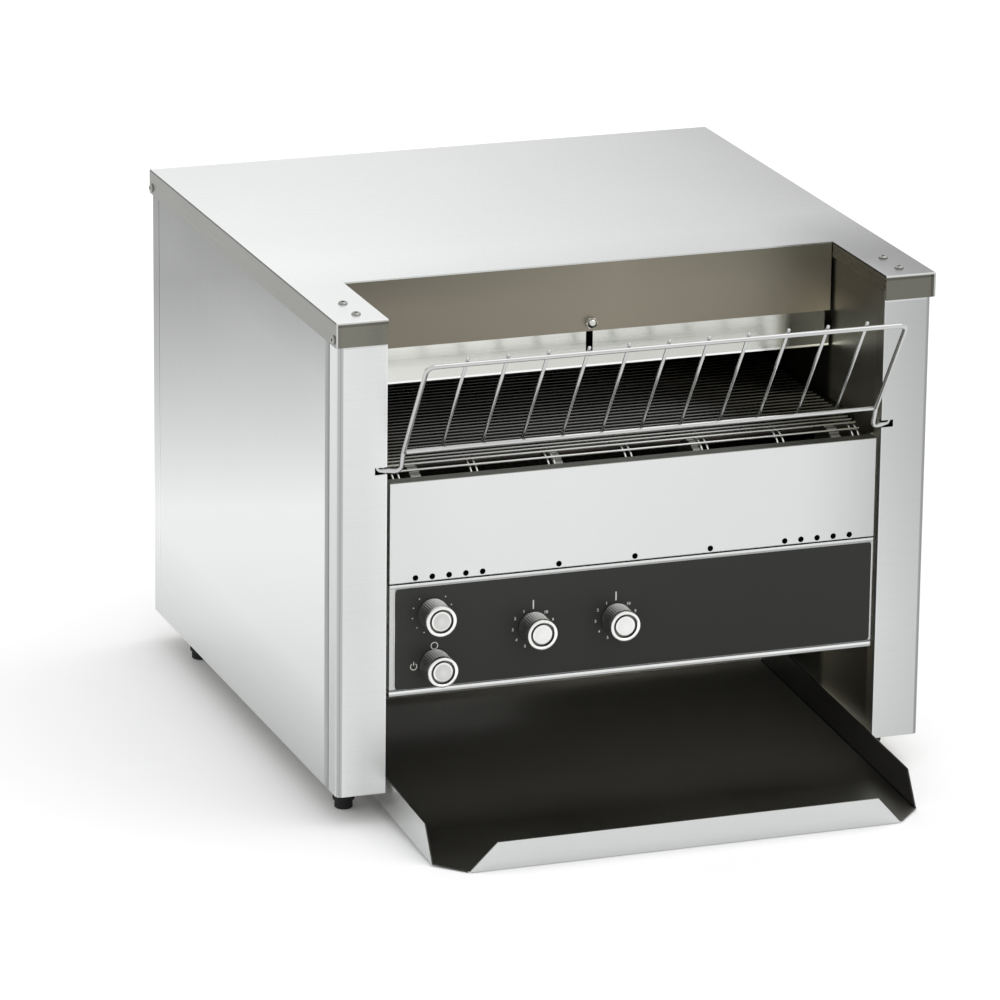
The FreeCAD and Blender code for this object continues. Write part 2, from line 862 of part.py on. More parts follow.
def facing_pan(z_span):
    """A face with a return on every edge and a fixing wing at each end."""
    back = front_face_y + front_panel_return
    side_back = front_face_y + panel_side_return
    face = block((-panel_half, panel_half), (front_face_y, front_face_y + skin), z_span)
    rims = [block((-panel_half, panel_half), (front_face_y, back), (z_span[1] - skin, z_span[1])),
            block((-panel_half, panel_half), (front_face_y, back), (z_span[0], z_span[0] + skin))]
    for side in (-1, 1):
        span = sorted((side * panel_half, side * (panel_half - skin)))
        rims.append(block(span, (front_face_y, side_back), z_span))
        wing = sorted((side * (panel_half - skin), side * (wall_x - seat_gap)))
        rims.append(block(wing, (side_back - skin, side_back), z_span))
    pan = face.fuse(rims).removeSplitter()
    edges = [edge for edge in pan.Edges if is_face_rim(edge, panel_half, z_span)]
    return pan.makeFillet(control_edge_radius, edges)


def front_panel():
    z_span = (base_z + front_panel_bottom, base_z + front_panel_top)
    places = [side * (panel_half - outer_hole_side_in - hole_pitch * index)
              for side in (-1, 1) for index in range(outer_hole_count)]
    places += centred(middle_hole_pitch, middle_hole_count)
    holes = []
    for x in places:
        start = V(x, front_face_y - cut_overrun, z_span[0] + skin + front_panel_hole_rise)
        holes.append(rod(start, start + AXIS_Y * (skin + 2 * cut_overrun),
                         front_panel_hole_radius))
    return facing_pan(z_span).cut(holes)


def is_face_rim(edge, half, z_span):
    """True for the four edges round the outer face of a panel."""
    ends = [vertex.Point for vertex in edge.Vertexes]
    if len(ends) < 2 or max(abs(point.y - front_face_y) for point in ends) > edge_match:
        return False
    middle = (ends[0] + ends[-1]) / 2
    on_side = abs(abs(middle.x) - half) < edge_match
    on_end = min(abs(middle.z - z_span[0]), abs(middle.z - z_span[1])) < edge_match
    return on_side or on_end


def control_places():
    left = -panel_half
    bottom = base_z + control_bottom
    return {"power": V(left + power_knob_in, 0, bottom + power_knob_up),
            "speed": V(left + speed_knob_in, 0, bottom + speed_knob_up),
            "top_heat": V(left + top_heat_knob_in, 0, bottom + heat_knob_up),
            "bottom_heat": V(left + bottom_heat_knob_in, 0, bottom + heat_knob_up)}


def control_holes():
    holes = []
    for place in control_places().values():
        start = V(place.x, front_face_y - cut_overrun, place.z)
        holes.append(rod(start, start + AXIS_Y * (skin + 2 * cut_overrun),
                         bush_radius + bush_hole_gap))
    return holes


def control_frame():
    return facing_pan((base_z + control_bottom, base_z + control_top)).cut(control_holes())


def control_overlay():
    face = rounded_face(overlay_half, (overlay_bottom_z, overlay_top_z), control_face_y,
                        overlay_corner)
    face.translate(AXIS_X * overlay_middle_x)
    return face.extrude(AXIS_Y * overlay_thickness).cut(control_holes())


def control_box():
    half = wall_x - seat_gap
    bottom = base_z + control_bottom
    top = base_z + belt_top_height - 2 * belt_turn_radius - control_box_belt_gap
    front = front_face_y + panel_side_return + seat_gap
    back = front_y + control_box_depth
    floor = block((-half, half), (front, back), (bottom, bottom + liner))
    rear = block((-half, half), (back - liner, back), (bottom, top))
    lid = block((-half, half), (front, back), (top - liner, top))
    return floor.fuse([rear, lid]).removeSplitter()


# Knobs and controls

def control_body(place, side, length):
    back = front_face_y + skin
    body = block((place.x - side / 2, place.x + side / 2), (back, back + length),
                 (place.z - side / 2, place.z + side / 2))
    bush = rod(V(place.x, control_face_y - knob_gap / 2, place.z), V(place.x, back, place.z),
               bush_radius)
    bore = rod(V(place.x, control_face_y - cut_overrun, place.z),
               V(place.x, back + spindle_inside + seat_gap, place.z), spindle_radius + spindle_fit)
    return body.fuse(bush).removeSplitter().cut(bore)


def spindle(place):
    front = control_face_y - knob_gap - knob_body_length + knob_wall
    return rod(V(place.x, front, place.z),
               V(place.x, front_face_y + skin + spindle_inside, place.z), spindle_radius)


def knob_body(place):
    base = V(place.x, control_face_y - knob_gap, place.z)
    body = turned([(0, 0), (knob_radius, 0), (knob_radius, knob_body_length),
                   (0, knob_body_length)], base, -AXIS_Y)
    bore_end = base - AXIS_Y * (knob_body_length - knob_wall)
    cutters = [rod(base + AXIS_Y * cut_overrun, bore_end, spindle_radius + spindle_fit)]
    cap_end = base - AXIS_Y * (knob_body_length + cut_overrun)
    cutters.append(rod(base - AXIS_Y * (knob_body_length - cap_spigot_length), cap_end,
                       cap_spigot_radius))
    for index in range(flute_count):
        angle = math.radians(360 / flute_count * (index + 0.5))
        reach = knob_radius + flute_radius - flute_depth
        place_out = base + V(math.sin(angle), 0, math.cos(angle)) * reach
        cutters.append(rod(place_out + AXIS_Y * cut_overrun,
                           place_out - AXIS_Y * (knob_body_length + cut_overrun), flute_radius))
    return body.cut(cutters)


def knob_cap(place):
    base = V(place.x, control_face_y - knob_gap - knob_body_length, place.z)
    ring_in = knob_radius - cap_ring_width
    dome = ring_in - cap_groove_width
    profile = [(0, -cap_spigot_length), (cap_spigot_radius, -cap_spigot_length),
               (cap_spigot_radius, 0), (knob_radius, 0),
               (knob_radius, knob_cap_length - cap_chamfer),
               (knob_radius - cap_chamfer, knob_cap_length),
               (ring_in + cap_chamfer, knob_cap_length),
               (ring_in, knob_cap_length - cap_chamfer),
               (ring_in, knob_cap_length - cap_groove_depth),
               (dome, knob_cap_length - cap_groove_depth),
               (dome, knob_cap_length - cap_dome_drop),
               (0, knob_cap_length - cap_dome_drop / 2)]
    return turned(profile, base, -AXIS_Y)


# Feed rack

def feed_rack():
    tail = V(0, rack_tail_y, rack_pin_z)
    leg = V(0, pillar_y - rack_leg_out, rack_pin_z)
    low = V(0, pillar_y - rack_low_out, rack_pin_z + rack_low_rise)
    top = V(0, pillar_y - rack_top_out, low.z + rack_top_rise)
    inner = AXIS_X * rack_half_length
    outer = AXIS_X * rack_pin_reach
    half_path = [tail + outer + AXIS_Z * rack_tail, tail + outer, leg + inner, low + inner,
                 top + inner]
    half_bends = [rack_tail_bend, rack_bend, rack_bend, rack_bend]
    left = [V(-point.x, point.y, point.z) for point in half_path]
    wires = [bent_wire(left + half_path[::-1], rack_wire / 2, half_bends + half_bends[::-1])]
    low_end = inner - AXIS_X * (rack_wire / 2)
    wires.append(rod(low - low_end, low + low_end, rack_wire / 2))
    rise = (top - low).normalize()
    behind = rise.cross(AXIS_X) * ((rack_wire + cross_wire) / 2)
    pitch = 2 * (rack_half_length - cross_wire_end_in) / (cross_wire_count - 1)
    for x in centred(pitch, cross_wire_count):
        foot = low + behind + AXIS_X * x - rise * cross_wire_foot
        head = top + behind + AXIS_X * x + rise * cross_wire_stub
        wires.append(rod(foot, head, cross_wire / 2))
    return wires


# Throat plate and gate

def throat_back_plate():
    half = wall_x - gate_end_gap
    plate = block((-half, half), (throat_back_y, throat_back_y + liner),
                  (base_z + throat_plate_bottom, cover_under_z))
    centre = V(0, throat_back_y, gate_stud_z)
    stud = rod(centre - AXIS_Y * gate_stud_out,
               centre + AXIS_Y * (2 * liner + seat_gap + gate_washer_thickness), gate_stud_radius)
    washer = rod(V(0, gate_y + liner + seat_gap, centre.z),
                 V(0, gate_y + liner + seat_gap + gate_washer_thickness, centre.z),
                 gate_washer_radius)
    return plate.fuse([stud, washer]).removeSplitter()


def gate_dome_nut():
    centre = V(0, throat_back_y, gate_stud_z)
    hex_part = hexagon(centre, dome_nut_radius, -AXIS_Y, dome_nut_hex)
    ball = Part.makeSphere(dome_nut_radius * dome_share, centre - AXIS_Y * dome_nut_hex)
    front = block((centre.x - dome_nut_radius, centre.x + dome_nut_radius),
                  (centre.y - dome_nut_hex - dome_nut_radius, centre.y - dome_nut_hex),
                  (centre.z - dome_nut_radius, centre.z + dome_nut_radius))
    nut = hex_part.fuse(ball.common(front)).removeSplitter()
    bore = rod(centre + AXIS_Y * cut_overrun, centre - AXIS_Y * (gate_stud_out + dome_fit),
               gate_stud_radius + dome_fit)
    return nut.cut(bore)


def gate_plate():
    half = wall_x - gate_end_gap
    bottom = base_z + gate_bottom
    plate = block((-half, half), (gate_y, gate_y + liner), (bottom, bottom + gate_height))
    lip = block((-half, half), (gate_y, gate_y + gate_lip), (bottom, bottom + liner))
    gate = plate.fuse(lip).removeSplitter()
    y_span = (gate_y - cut_overrun, gate_y + liner + seat_gap)
    slot = block((-gate_slot_width / 2, gate_slot_width / 2), y_span,
                 (bottom + gate_slot_up, gate_stud_z + gate_stud_radius + gate_hang_gap))
    cutters = [slot]
    for side in (-1, 1):
        span = sorted((side * (half - gate_notch_width), side * (half + cut_overrun)))
        cutters.append(block(span, y_span, (bottom + gate_notch_up,
                                            bottom + gate_notch_up + gate_notch_height)))
    return gate.cut(cutters)


# Heaters and reflectors

def upper_heater_places():
    first = throat_back_y + upper_heater_behind_throat
    last = back_y - upper_heater_from_back
    pitch = (last - first) / (upper_heater_count - 1)
    return [V(0, y, upper_heater_z) for y in spread(first, pitch, upper_heater_count)]


def lower_heater_places():
    first = belt_front_y + lower_heater_front_run
    last = belt_rear_y - lower_heater_rear_run
    pitch = (last - first) / (lower_heater_count - 1)
    return [V(0, y, belt_z) for y in spread(first, pitch, lower_heater_count)]


def heater_places():
    return upper_heater_places() + lower_heater_places()


def heater(place):
    end = wall_out_x + heater_end_reach
    sheath = rod(place - AXIS_X * end, place + AXIS_X * end, heater_radius)
    reach = end + terminal_pin_length
    return sheath.fuse(rod(place - AXIS_X * reach, place + AXIS_X * reach, terminal_pin_radius))


def heater_insulators():
    rings = []
    for place in heater_places():
        for side in (-1, 1):
            start = place + AXIS_X * side * (wall_out_x + seat_gap)
            end = start + AXIS_X * side * insulator_length
            ring = rod(start, end, insulator_radius)
            rings.append(ring.cut(rod(start, end, heater_radius + insulator_gap)))
    return rings


def upper_reflector():
    half = wall_x - seat_gap
    front = throat_back_y + reflector_behind_throat
    rear = back_y - reflector_from_back
    z = upper_reflector_z
    top = block((-half, half), (front, rear), (z, z + liner))
    front_drop = block((-half, half), (front, front + liner), (z - reflector_drop, z + liner))
    rear_drop = block((-half, half), (rear - liner, rear), (z - reflector_drop, z + liner))
    return top.fuse([front_drop, rear_drop]).removeSplitter()


def lower_reflector():
    half = wall_x - seat_gap
    front = belt_front_y + lower_reflector_front_run
    rear = belt_rear_y - lower_reflector_rear_run
    z = belt_z - lower_reflector_below_heater
    floor = block((-half, half), (front, rear), (z, z + liner))
    front_lip = block((-half, half), (front, front + liner), (z, z + lower_reflector_lip))
    rear_lip = block((-half, half), (rear - liner, rear), (z, z + lower_reflector_lip))
    return floor.fuse([front_lip, rear_lip]).removeSplitter()


# Ramp, deflector and tray

def return_ramp():
    half = wall_x - seat_gap
    low = V(0, ramp_front_y, tray_under_z(ramp_front_y) + tray_wall_height + ramp_tray_wall_gap)
    high = V(0, ramp_rear_y, ramp_rear_z)
    along = (high - low).normalize()
    up = AXIS_X.cross(along)
    sheet = slab([low - AXIS_X * half, high - AXIS_X * half, high - AXIS_X * half + up * liner,
                  low - AXIS_X * half + up * liner], AXIS_X * (2 * half))
    sides = []
    for side in (-1, 1):
        start = AXIS_X * (side * half - (liner if side > 0 else 0))
        rim = slab([low + start, high + start, high + start + up * ramp_side_height,
                    low + start + up * ramp_side_height], AXIS_X * liner)
        sides.append(rim)
    return sheet.fuse(sides).removeSplitter()


def rear_deflector():
    half = wall_x - seat_gap
    y = back_y - deflector_from_back
    low = ramp_rear_z
    high = upper_reflector_z + deflector_over_reflector
    foot_y = ramp_rear_y + seat_gap
    plate = slab([V(-half, y, low + deflector_curl), V(-half, y, high),
                  V(-half, y + liner, high), V(-half, y + liner, low + deflector_curl)],
                 AXIS_X * (2 * half))
    foot = slab([V(-half, foot_y, low), V(-half, y, low + deflector_curl),
                 V(-half, y + liner, low + deflector_curl), V(-half, foot_y + liner, low)],
                AXIS_X * (2 * half))
    brow = block((-half, half), (y - deflector_brow, y + liner), (high - liner, high))
    return plate.fuse([foot, brow]).removeSplitter()


def toast_tray():
    length = tray_rear_y - front_y + tray_reach
    half = tray_half_width
    narrow = half - tray_corner
    floor = slab([V(-narrow, 0, 0), V(narrow, 0, 0), V(half, tray_corner, 0), V(half, length, 0),
                  V(-half, length, 0), V(-half, tray_corner, 0)], AXIS_Z * tray_sheet)
    pieces = []
    for side in (-1, 1):
        start = side * half - (tray_sheet if side > 0 else 0)
        wall = slab([V(start, tray_corner, 0), V(start, length, 0),
                     V(start, length, tray_wall_height),
                     V(start, tray_corner + tray_wall_slant, tray_wall_height)],
                    AXIS_X * tray_sheet)
        pieces.append(wall)
    lip_top = narrow - tray_lip_mitre
    lip = slab([V(-narrow, 0, 0), V(narrow, 0, 0), V(lip_top, 0, tray_lip_height),
                V(-lip_top, 0, tray_lip_height)], AXIS_Y * tray_sheet)
    lip.rotate(V(0, 0, 0), AXIS_X, tray_lip_lean_degrees)
    pieces.append(lip)
    tray = floor.fuse(pieces).removeSplitter()
    tray.rotate(V(0, 0, 0), AXIS_X, tray_slope_degrees)
    lip_front = min(vertex.Point.y for vertex in tray.Vertexes)
    tray.translate(V(0, front_y - tray_reach - lip_front, tray_ground_gap))
    return tray


# Belt, wheels and shafts

def belt_path_length():
    return 2 * (belt_rear_y - belt_front_y) + 2 * math.pi * (belt_turn_radius - belt_wire_radius)


def belt_place(distance, radius):
    """The point and the outward direction at a distance round the belt."""
    run = belt_rear_y - belt_front_y
    turn = math.pi * (belt_turn_radius - belt_wire_radius)
    if distance < run:
        return V(0, belt_front_y + distance, belt_z + radius)
    distance -= run
    if distance < turn:
        angle = math.pi / 2 - distance / turn * math.pi
        return V(0, belt_rear_y + radius * math.cos(angle), belt_z + radius * math.sin(angle))
    distance -= turn
    if distance < run:
        return V(0, belt_rear_y - distance, belt_z - radius)
    distance -= run
    angle = -math.pi / 2 - distance / turn * math.pi
    return V(0, belt_front_y + radius * math.cos(angle), belt_z + radius * math.sin(angle))


def race_loop(half_x, offset_x, outer, inner):
    """A flat loop round both belt turns, between two radii."""
    def loop(radius):
        front = V(offset_x - half_x, belt_front_y, belt_z)
        rear = V(offset_x - half_x, belt_rear_y, belt_z)
        up = AXIS_Z * radius
        out = AXIS_Y * radius
        edges = [Part.makeLine(front + up, rear + up),
                 Part.Arc(rear + up, rear + out, rear - up).toShape(),
                 Part.makeLine(rear - up, front - up),
                 Part.Arc(front - up, front - out, front + up).toShape()]
        return Part.Face(Part.Wire(edges))
    return loop(outer).cut(loop(inner)).extrude(AXIS_X * (2 * half_x))


def conveyor_belt():
    count = int(round(belt_path_length() / belt_rod_pitch))
    step = belt_path_length() / count
    centre_radius = belt_turn_radius - belt_wire_radius
    pieces = []
    for index in range(count):
        place = belt_place(step * (index + 0.5), centre_radius)
        pieces.append(rod(place - AXIS_X * belt_half_width, place + AXIS_X * belt_half_width,
                          belt_wire_radius))
    outer = centre_radius - belt_wire_radius - link_band_gap
    pitch = 2 * (belt_half_width - link_band_edge) / (link_band_count - 1)
    for x in centred(pitch, link_band_count):
        pieces.append(race_loop(link_band_width / 2, x, outer, outer - link_band_thickness))
    return pieces


def wheel_radius():
    return (belt_turn_radius - 2 * belt_wire_radius - link_band_gap - link_band_thickness
            - wheel_clearance)


def wheel_places():
    pitch = 2 * (belt_half_width - wheel_edge) / (wheel_count - 1)
    return centred(pitch, wheel_count)


def belt_wheels(y):
    wheels = []
    for x in wheel_places():
        left = V(x - wheel_width / 2, y, belt_z)
        disc = rod(left, left + AXIS_X * wheel_width, wheel_radius())
        hub_left = V(x - wheel_hub_width / 2, y, belt_z)
        hub = rod(hub_left, hub_left + AXIS_X * wheel_hub_width, wheel_hub_radius)
        cutters = [rod(hub_left - AXIS_X * cut_overrun,
                       hub_left + AXIS_X * (wheel_hub_width + cut_overrun),
                       shaft_radius + wheel_fit)]
        for index in range(wheel_tooth_count):
            angle = 2 * math.pi * index / wheel_tooth_count
            reach = wheel_radius() + wheel_tooth_depth - wheel_tooth_depth / 2
            spot = left + V(0, math.cos(angle), math.sin(angle)) * reach
            cutters.append(rod(spot - AXIS_X * cut_overrun,
                               spot + AXIS_X * (wheel_width + cut_overrun), wheel_tooth_depth))
        wheels.append(disc.fuse(hub).removeSplitter().cut(cutters))
    return wheels


def belt_shaft(y, right_reach):
    left = V(-(wall_out_x + shaft_end_reach), y, belt_z)
    right = V(right_reach, y, belt_z)
    return rod(left, right, shaft_radius)


def shaft_bushes():
    bushes = []
    for side in (-1, 1):
        for y in (belt_front_y, belt_rear_y):
            inner = V(side * (wall_x - journal_bush_flange_thickness - seat_gap), y, belt_z)
            seat = V(side * (wall_x - seat_gap), y, belt_z)
            outer = V(side * (wall_out_x + journal_bush_reach), y, belt_z)
            bush = rod(inner, outer, journal_bush_radius)
            bush = bush.fuse(rod(inner, seat, journal_bush_flange)).removeSplitter()
            way = AXIS_X * side * cut_overrun
            bushes.append(bush.cut(rod(inner - way, outer + way, shaft_radius + shaft_fit)))
    return bushes


def belt_rails():
    """Angle rails on both walls that carry the edges of the belt's top run."""
    rails = []
    under = belt_z + belt_turn_radius - 2 * belt_wire_radius - link_band_gap
    top = under - link_band_thickness - guide_rail_drop
    front = belt_front_y + belt_turn_radius
    rear = belt_rear_y - belt_turn_radius
    for side in (-1, 1):
        outer = side * (wall_x - seat_gap)
        shelf = sorted((outer, outer - side * (wall_x - belt_half_width + guide_rail_width)))
        leg = sorted((outer, outer - side * guide_rail_sheet))
        rail = block(shelf, (front, rear), (top - guide_rail_sheet, top))
        rails.append(rail.fuse(block(leg, (front, rear), (top - guide_rail_height, top)))
                     .removeSplitter())
    return rails


# Chain drive

def pitch_radius(teeth):
    return chain_pitch / (2 * math.sin(math.pi / teeth))


def sprocket(y, z, teeth):
    tip = pitch_radius(teeth) - chain_roller_radius - sprocket_chain_gap
    left = V(bay_x - sprocket_width / 2, y, z)
    disc = rod(left, left + AXIS_X * sprocket_width, tip)
    hub = rod(left - AXIS_X * sprocket_hub_width, left, sprocket_hub_radius)
    cutters = [rod(left - AXIS_X * (sprocket_hub_width + cut_overrun),
                   left + AXIS_X * (sprocket_width + cut_overrun), shaft_radius + sprocket_fit)]
    for index in range(teeth):
        angle = 2 * math.pi * (index + 0.5) / teeth
        spot = left + V(0, math.cos(angle), math.sin(angle)) * (tip + tooth_depth / 2)
        cutters.append(rod(spot - AXIS_X * cut_overrun,
                           spot + AXIS_X * (sprocket_width + cut_overrun), tooth_depth))
    return disc.fuse(hub).removeSplitter().cut(cutters)


def chain_places():
    """Roller centres round both sprockets, evenly spaced."""
    low = V(0, motor_y, motor_z)
    high = V(0, belt_rear_y, belt_z)
    low_radius = pitch_radius(motor_teeth)
    high_radius = pitch_radius(drive_teeth)
    span = (high - low).Length
    along = (high - low).normalize()
    across = AXIS_X.cross(along)
    lean = math.asin((high_radius - low_radius) / span)
    straight = span * math.cos(lean)
    wrap_high = (math.pi + 2 * lean) * high_radius
    wrap_low = (math.pi - 2 * lean) * low_radius
    total = 2 * straight + wrap_high + wrap_low
    count = int(round(total / chain_pitch))
    places = []

    def on_circle(centre, radius, angle):
        return centre + (across * math.cos(angle) + along * math.sin(angle)) * radius

    for index in range(count):
        distance = total * index / count
        if distance < straight:
            start = on_circle(low, low_radius, -lean)
            end = on_circle(high, high_radius, -lean)
            places.append(start + (end - start) * (distance / straight))
            continue
        distance -= straight
        if distance < wrap_high:
            places.append(on_circle(high, high_radius, distance / high_radius - lean))
            continue
        distance -= wrap_high
        if distance < straight:
            start = on_circle(high, high_radius, math.pi + lean)
            end = on_circle(low, low_radius, math.pi + lean)
            places.append(start + (end - start) * (distance / straight))
            continue
        distance -= straight
        places.append(on_circle(low, low_radius, math.pi + lean + distance / low_radius))
    return places


def chain_link_plate(first, second, x):
    """A link plate with rounded ends and a hole for each pin."""
    along = (second - first).normalize()
    across = AXIS_X.cross(along)
    half = chain_plate_height / 2
    left = V(x, 0, 0)
    one = first + left
    two = second + left
    edges = [Part.makeLine(one + across * half, two + across * half),
             Part.Arc(two + across * half, two + along * half, two - across * half).toShape(),
             Part.makeLine(two - across * half, one - across * half),
             Part.Arc(one - across * half, one - along * half, one + across * half).toShape()]
    plate = Part.Face(Part.Wire(edges)).extrude(AXIS_X * chain_plate)
    holes = [rod(spot - AXIS_X * cut_overrun, spot + AXIS_X * (chain_plate + cut_overrun),
                 chain_pin_radius + chain_pin_fit) for spot in (one, two)]
    return plate.cut(holes)


def drive_chain():
    places = chain_places()
    half = chain_inner_width / 2
    inner = half + chain_plate_gap
    outer = inner + chain_plate + chain_plate_gap
    pieces = []
    for index, place in enumerate(places):
        ahead = places[(index + 1) % len(places)]
        offset = inner if index % 2 == 0 else outer
        pieces.append(chain_link_plate(place, ahead, bay_x + offset))
        pieces.append(chain_link_plate(place, ahead, bay_x - offset - chain_plate))
        reach = outer + chain_plate
        centre = place + AXIS_X * bay_x
        pieces.append(rod(centre - AXIS_X * reach, centre + AXIS_X * reach, chain_pin_radius))
        roller = rod(centre - AXIS_X * half, centre + AXIS_X * half, chain_roller_radius)
        bore = rod(centre - AXIS_X * inner, centre + AXIS_X * inner,
                   chain_pin_radius + chain_pin_fit)
        pieces.append(roller.cut(bore))
    return pieces


def gear_motor():
    face = wall_x - motor_wall_gap
    box_span = (face - gearbox_length, face)
    half = gearbox_side / 2
    gearbox = block(box_span, (motor_y - half, motor_y + half), (motor_z - half, motor_z + half))
    boss = rod(V(face, motor_y, motor_z), V(wall_out_x + seat_gap, motor_y, motor_z),
               gearbox_boss_radius)
    left = V(face - gearbox_length - motor_length, motor_y, motor_z)
    can = rod(left, V(face - gearbox_length, motor_y, motor_z), motor_radius)
    cap = rod(left - AXIS_X * motor_cap_length, left, motor_radius - motor_cap_step)
    motor = gearbox.fuse([boss, can, cap]).removeSplitter()
    bore = rod(V(face - motor_shaft_inside - seat_gap, motor_y, motor_z),
               V(wall_out_x + cut_overrun, motor_y, motor_z), shaft_radius + shaft_fit)
    stand = block(box_span, (motor_y - half, motor_y + half),
                  (base_z + base_sheet, motor_z - half))
    return motor.cut(bore).fuse(stand).removeSplitter()


def motor_shaft():
    return rod(V(wall_x - motor_wall_gap - motor_shaft_inside, motor_y, motor_z),
               V(bay_x + sprocket_width / 2 + motor_shaft_reach, motor_y, motor_z), shaft_radius)


# Fan

def fan_frame():
    centre = fan_centre()
    front = rear_panel_y - fan_depth
    half = fan_side / 2
    body = block((centre.x - half, centre.x + half), (front, rear_panel_y),
                 (centre.z - half, centre.z + half))
    corners = [edge for edge in body.Edges if abs(edge.Vertexes[0].Point.y
                                                  - edge.Vertexes[1].Point.y) > fan_depth / 2]
    body = body.makeFillet(fan_corner, corners)
    start = V(centre.x, front, centre.z)
    body = body.cut(rod(start - AXIS_Y * cut_overrun, centre + AXIS_Y * cut_overrun,
                        fan_bore_radius))
    for place in fan_screw_places():
        hole_start = V(place.x, front - cut_overrun, place.z)
        body = body.cut(rod(hole_start, place + AXIS_Y * cut_overrun, fan_hole_radius))
    struts = []
    for angle in fan_strut_turns:
        reach = fan_bore_radius + fan_strut_overlap
        strut = block((-reach, reach), (0, fan_strut_depth),
                      (-fan_strut_width / 2, fan_strut_width / 2))
        strut.rotate(V(0, 0, 0), AXIS_Y, angle)
        strut.translate(start)
        struts.append(strut)
    plate = rod(start, start + AXIS_Y * fan_strut_depth, fan_hub_radius)
    pin = rod(start, start + AXIS_Y * (fan_strut_depth + fan_hub_length - seat_gap),
              fan_pin_radius)
    return body.fuse(struts + [plate, pin]).removeSplitter()


def fan_rotor():
    centre = fan_centre()
    front = V(centre.x, rear_panel_y - fan_depth + fan_strut_depth + fan_rotor_gap, centre.z)
    hub = rod(front, front + AXIS_Y * fan_hub_length, fan_hub_radius)
    tip = fan_bore_radius - fan_tip_gap
    sweep = rod(front, front + AXIS_Y * fan_hub_length, tip)
    blades = []
    chord = fan_hub_length / math.cos(math.radians(fan_blade_lean_degrees))
    for index in range(fan_blade_count):
        blade = block((0, tip), (-chord / 2, chord / 2),
                      (-fan_blade_thickness / 2, fan_blade_thickness / 2))
        blade.rotate(V(0, 0, 0), AXIS_X, fan_blade_lean_degrees)
        blade.rotate(V(0, 0, 0), AXIS_Y, 360 / fan_blade_count * index)
        blade.translate(front + AXIS_Y * (fan_hub_length / 2))
        blades.append(blade.common(sweep))
    rotor = hub.fuse(blades).removeSplitter()
    bore_end = front + AXIS_Y * (fan_hub_length - seat_gap)
    return rotor.cut(rod(front - AXIS_Y * cut_overrun, bore_end, fan_pin_radius + fan_pin_fit))


# Build every node

def build():
    save("top_cover", top_cover())
    pillar = left_pillar()
    save("left_front_pillar", pillar)
    save("right_front_pillar", mirrored(pillar))
    side = left_side_panel()
    save("left_side_panel", side)
    save("right_side_panel", mirrored(side))
    save("left_inner_wall", left_inner_wall())
    save("right_inner_wall", right_inner_wall())
    save("base_pan", base_pan())
    save("rear_panel", rear_panel())
    save("rubber_feet", *[rubber_foot(place) for place in foot_places()])
    save("foot_screws", *[foot_screw(place) for place in foot_places()])
    save("panel_screws", *panel_screws())
    save("cord_gland", cord_gland())
    save("terminal_block", terminal_block())
    save("front_panel", front_panel())
    save("control_frame", control_frame())
    save("control_overlay", control_overlay())
    save("control_box", control_box())
    places = control_places()
    save("power_switch", control_body(places["power"], switch_side, switch_length))
    save("speed_control", control_body(places["speed"], switch_side, dial_length))
    save("heat_controls", control_body(places["top_heat"], dial_side, dial_length),
         control_body(places["bottom_heat"], dial_side, dial_length))
    for name, place in places.items():
        save(name + "_spindle", spindle(place))
        save(name + "_knob", knob_body(place))
        save(name + "_knob_cap", knob_cap(place))
    save("feed_rack", *feed_rack())
    save("throat_back_plate", throat_back_plate())
    save("gate_plate", gate_plate())
    save("gate_dome_nut", gate_dome_nut())
    save("upper_heaters", *[heater(place) for place in upper_heater_places()])
    save("lower_heaters", *[heater(place) for place in lower_heater_places()])
    save("heater_insulators", *heater_insulators())
    save("upper_reflector", upper_reflector())
    save("lower_reflector", lower_reflector())
    save("return_ramp", return_ramp())
    save("rear_deflector", rear_deflector())
    save("toast_tray", toast_tray())
    save("conveyor_belt", *conveyor_belt())
    save("belt_rails", *belt_rails())
    save("front_belt_wheels", *belt_wheels(belt_front_y))
    save("rear_belt_wheels", *belt_wheels(belt_rear_y))
    save("front_belt_shaft", belt_shaft(belt_front_y, wall_out_x + shaft_end_reach))
    save("rear_belt_shaft", belt_shaft(belt_rear_y, bay_x + sprocket_width / 2 + motor_shaft_reach))
    save("shaft_bushes", *shaft_bushes())
    save("drive_sprocket", sprocket(belt_rear_y, belt_z, drive_teeth))
    save("motor_sprocket", sprocket(motor_y, motor_z, motor_teeth))
    save("drive_chain", *drive_chain())
    save("gear_motor", gear_motor())
    save("motor_shaft", motor_shaft())
    save("fan_frame", fan_frame())
    save("fan_rotor", fan_rotor())


build()
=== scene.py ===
"""Looks of a counter-top conveyor toaster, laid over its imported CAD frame.

Every length is in metres. X runs to the right as seen from the front, the front faces -Y
and +Z is up, as in the CAD frame.
"""

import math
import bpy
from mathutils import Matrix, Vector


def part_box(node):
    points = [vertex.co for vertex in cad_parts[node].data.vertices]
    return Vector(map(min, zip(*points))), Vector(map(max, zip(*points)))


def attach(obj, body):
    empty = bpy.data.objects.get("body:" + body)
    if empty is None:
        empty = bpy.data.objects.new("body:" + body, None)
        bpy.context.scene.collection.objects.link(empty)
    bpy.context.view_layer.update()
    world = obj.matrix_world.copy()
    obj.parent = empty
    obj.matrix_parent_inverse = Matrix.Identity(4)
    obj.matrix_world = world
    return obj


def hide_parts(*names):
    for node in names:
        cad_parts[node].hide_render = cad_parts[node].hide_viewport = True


bl_info = {
    "name": "Conveyor toaster looks",
    "version": (1, 0, 0),
    "blender": (4, 5, 0),
    "location": "View3D > Sidebar > Toaster",
    "description": "Finishes, fine pieces and stage of a counter-top conveyor toaster",
    "category": "Object",
}

import bmesh
import bpy
from bpy.props import FloatProperty, FloatVectorProperty, IntProperty, PointerProperty
from mathutils import Matrix, Vector

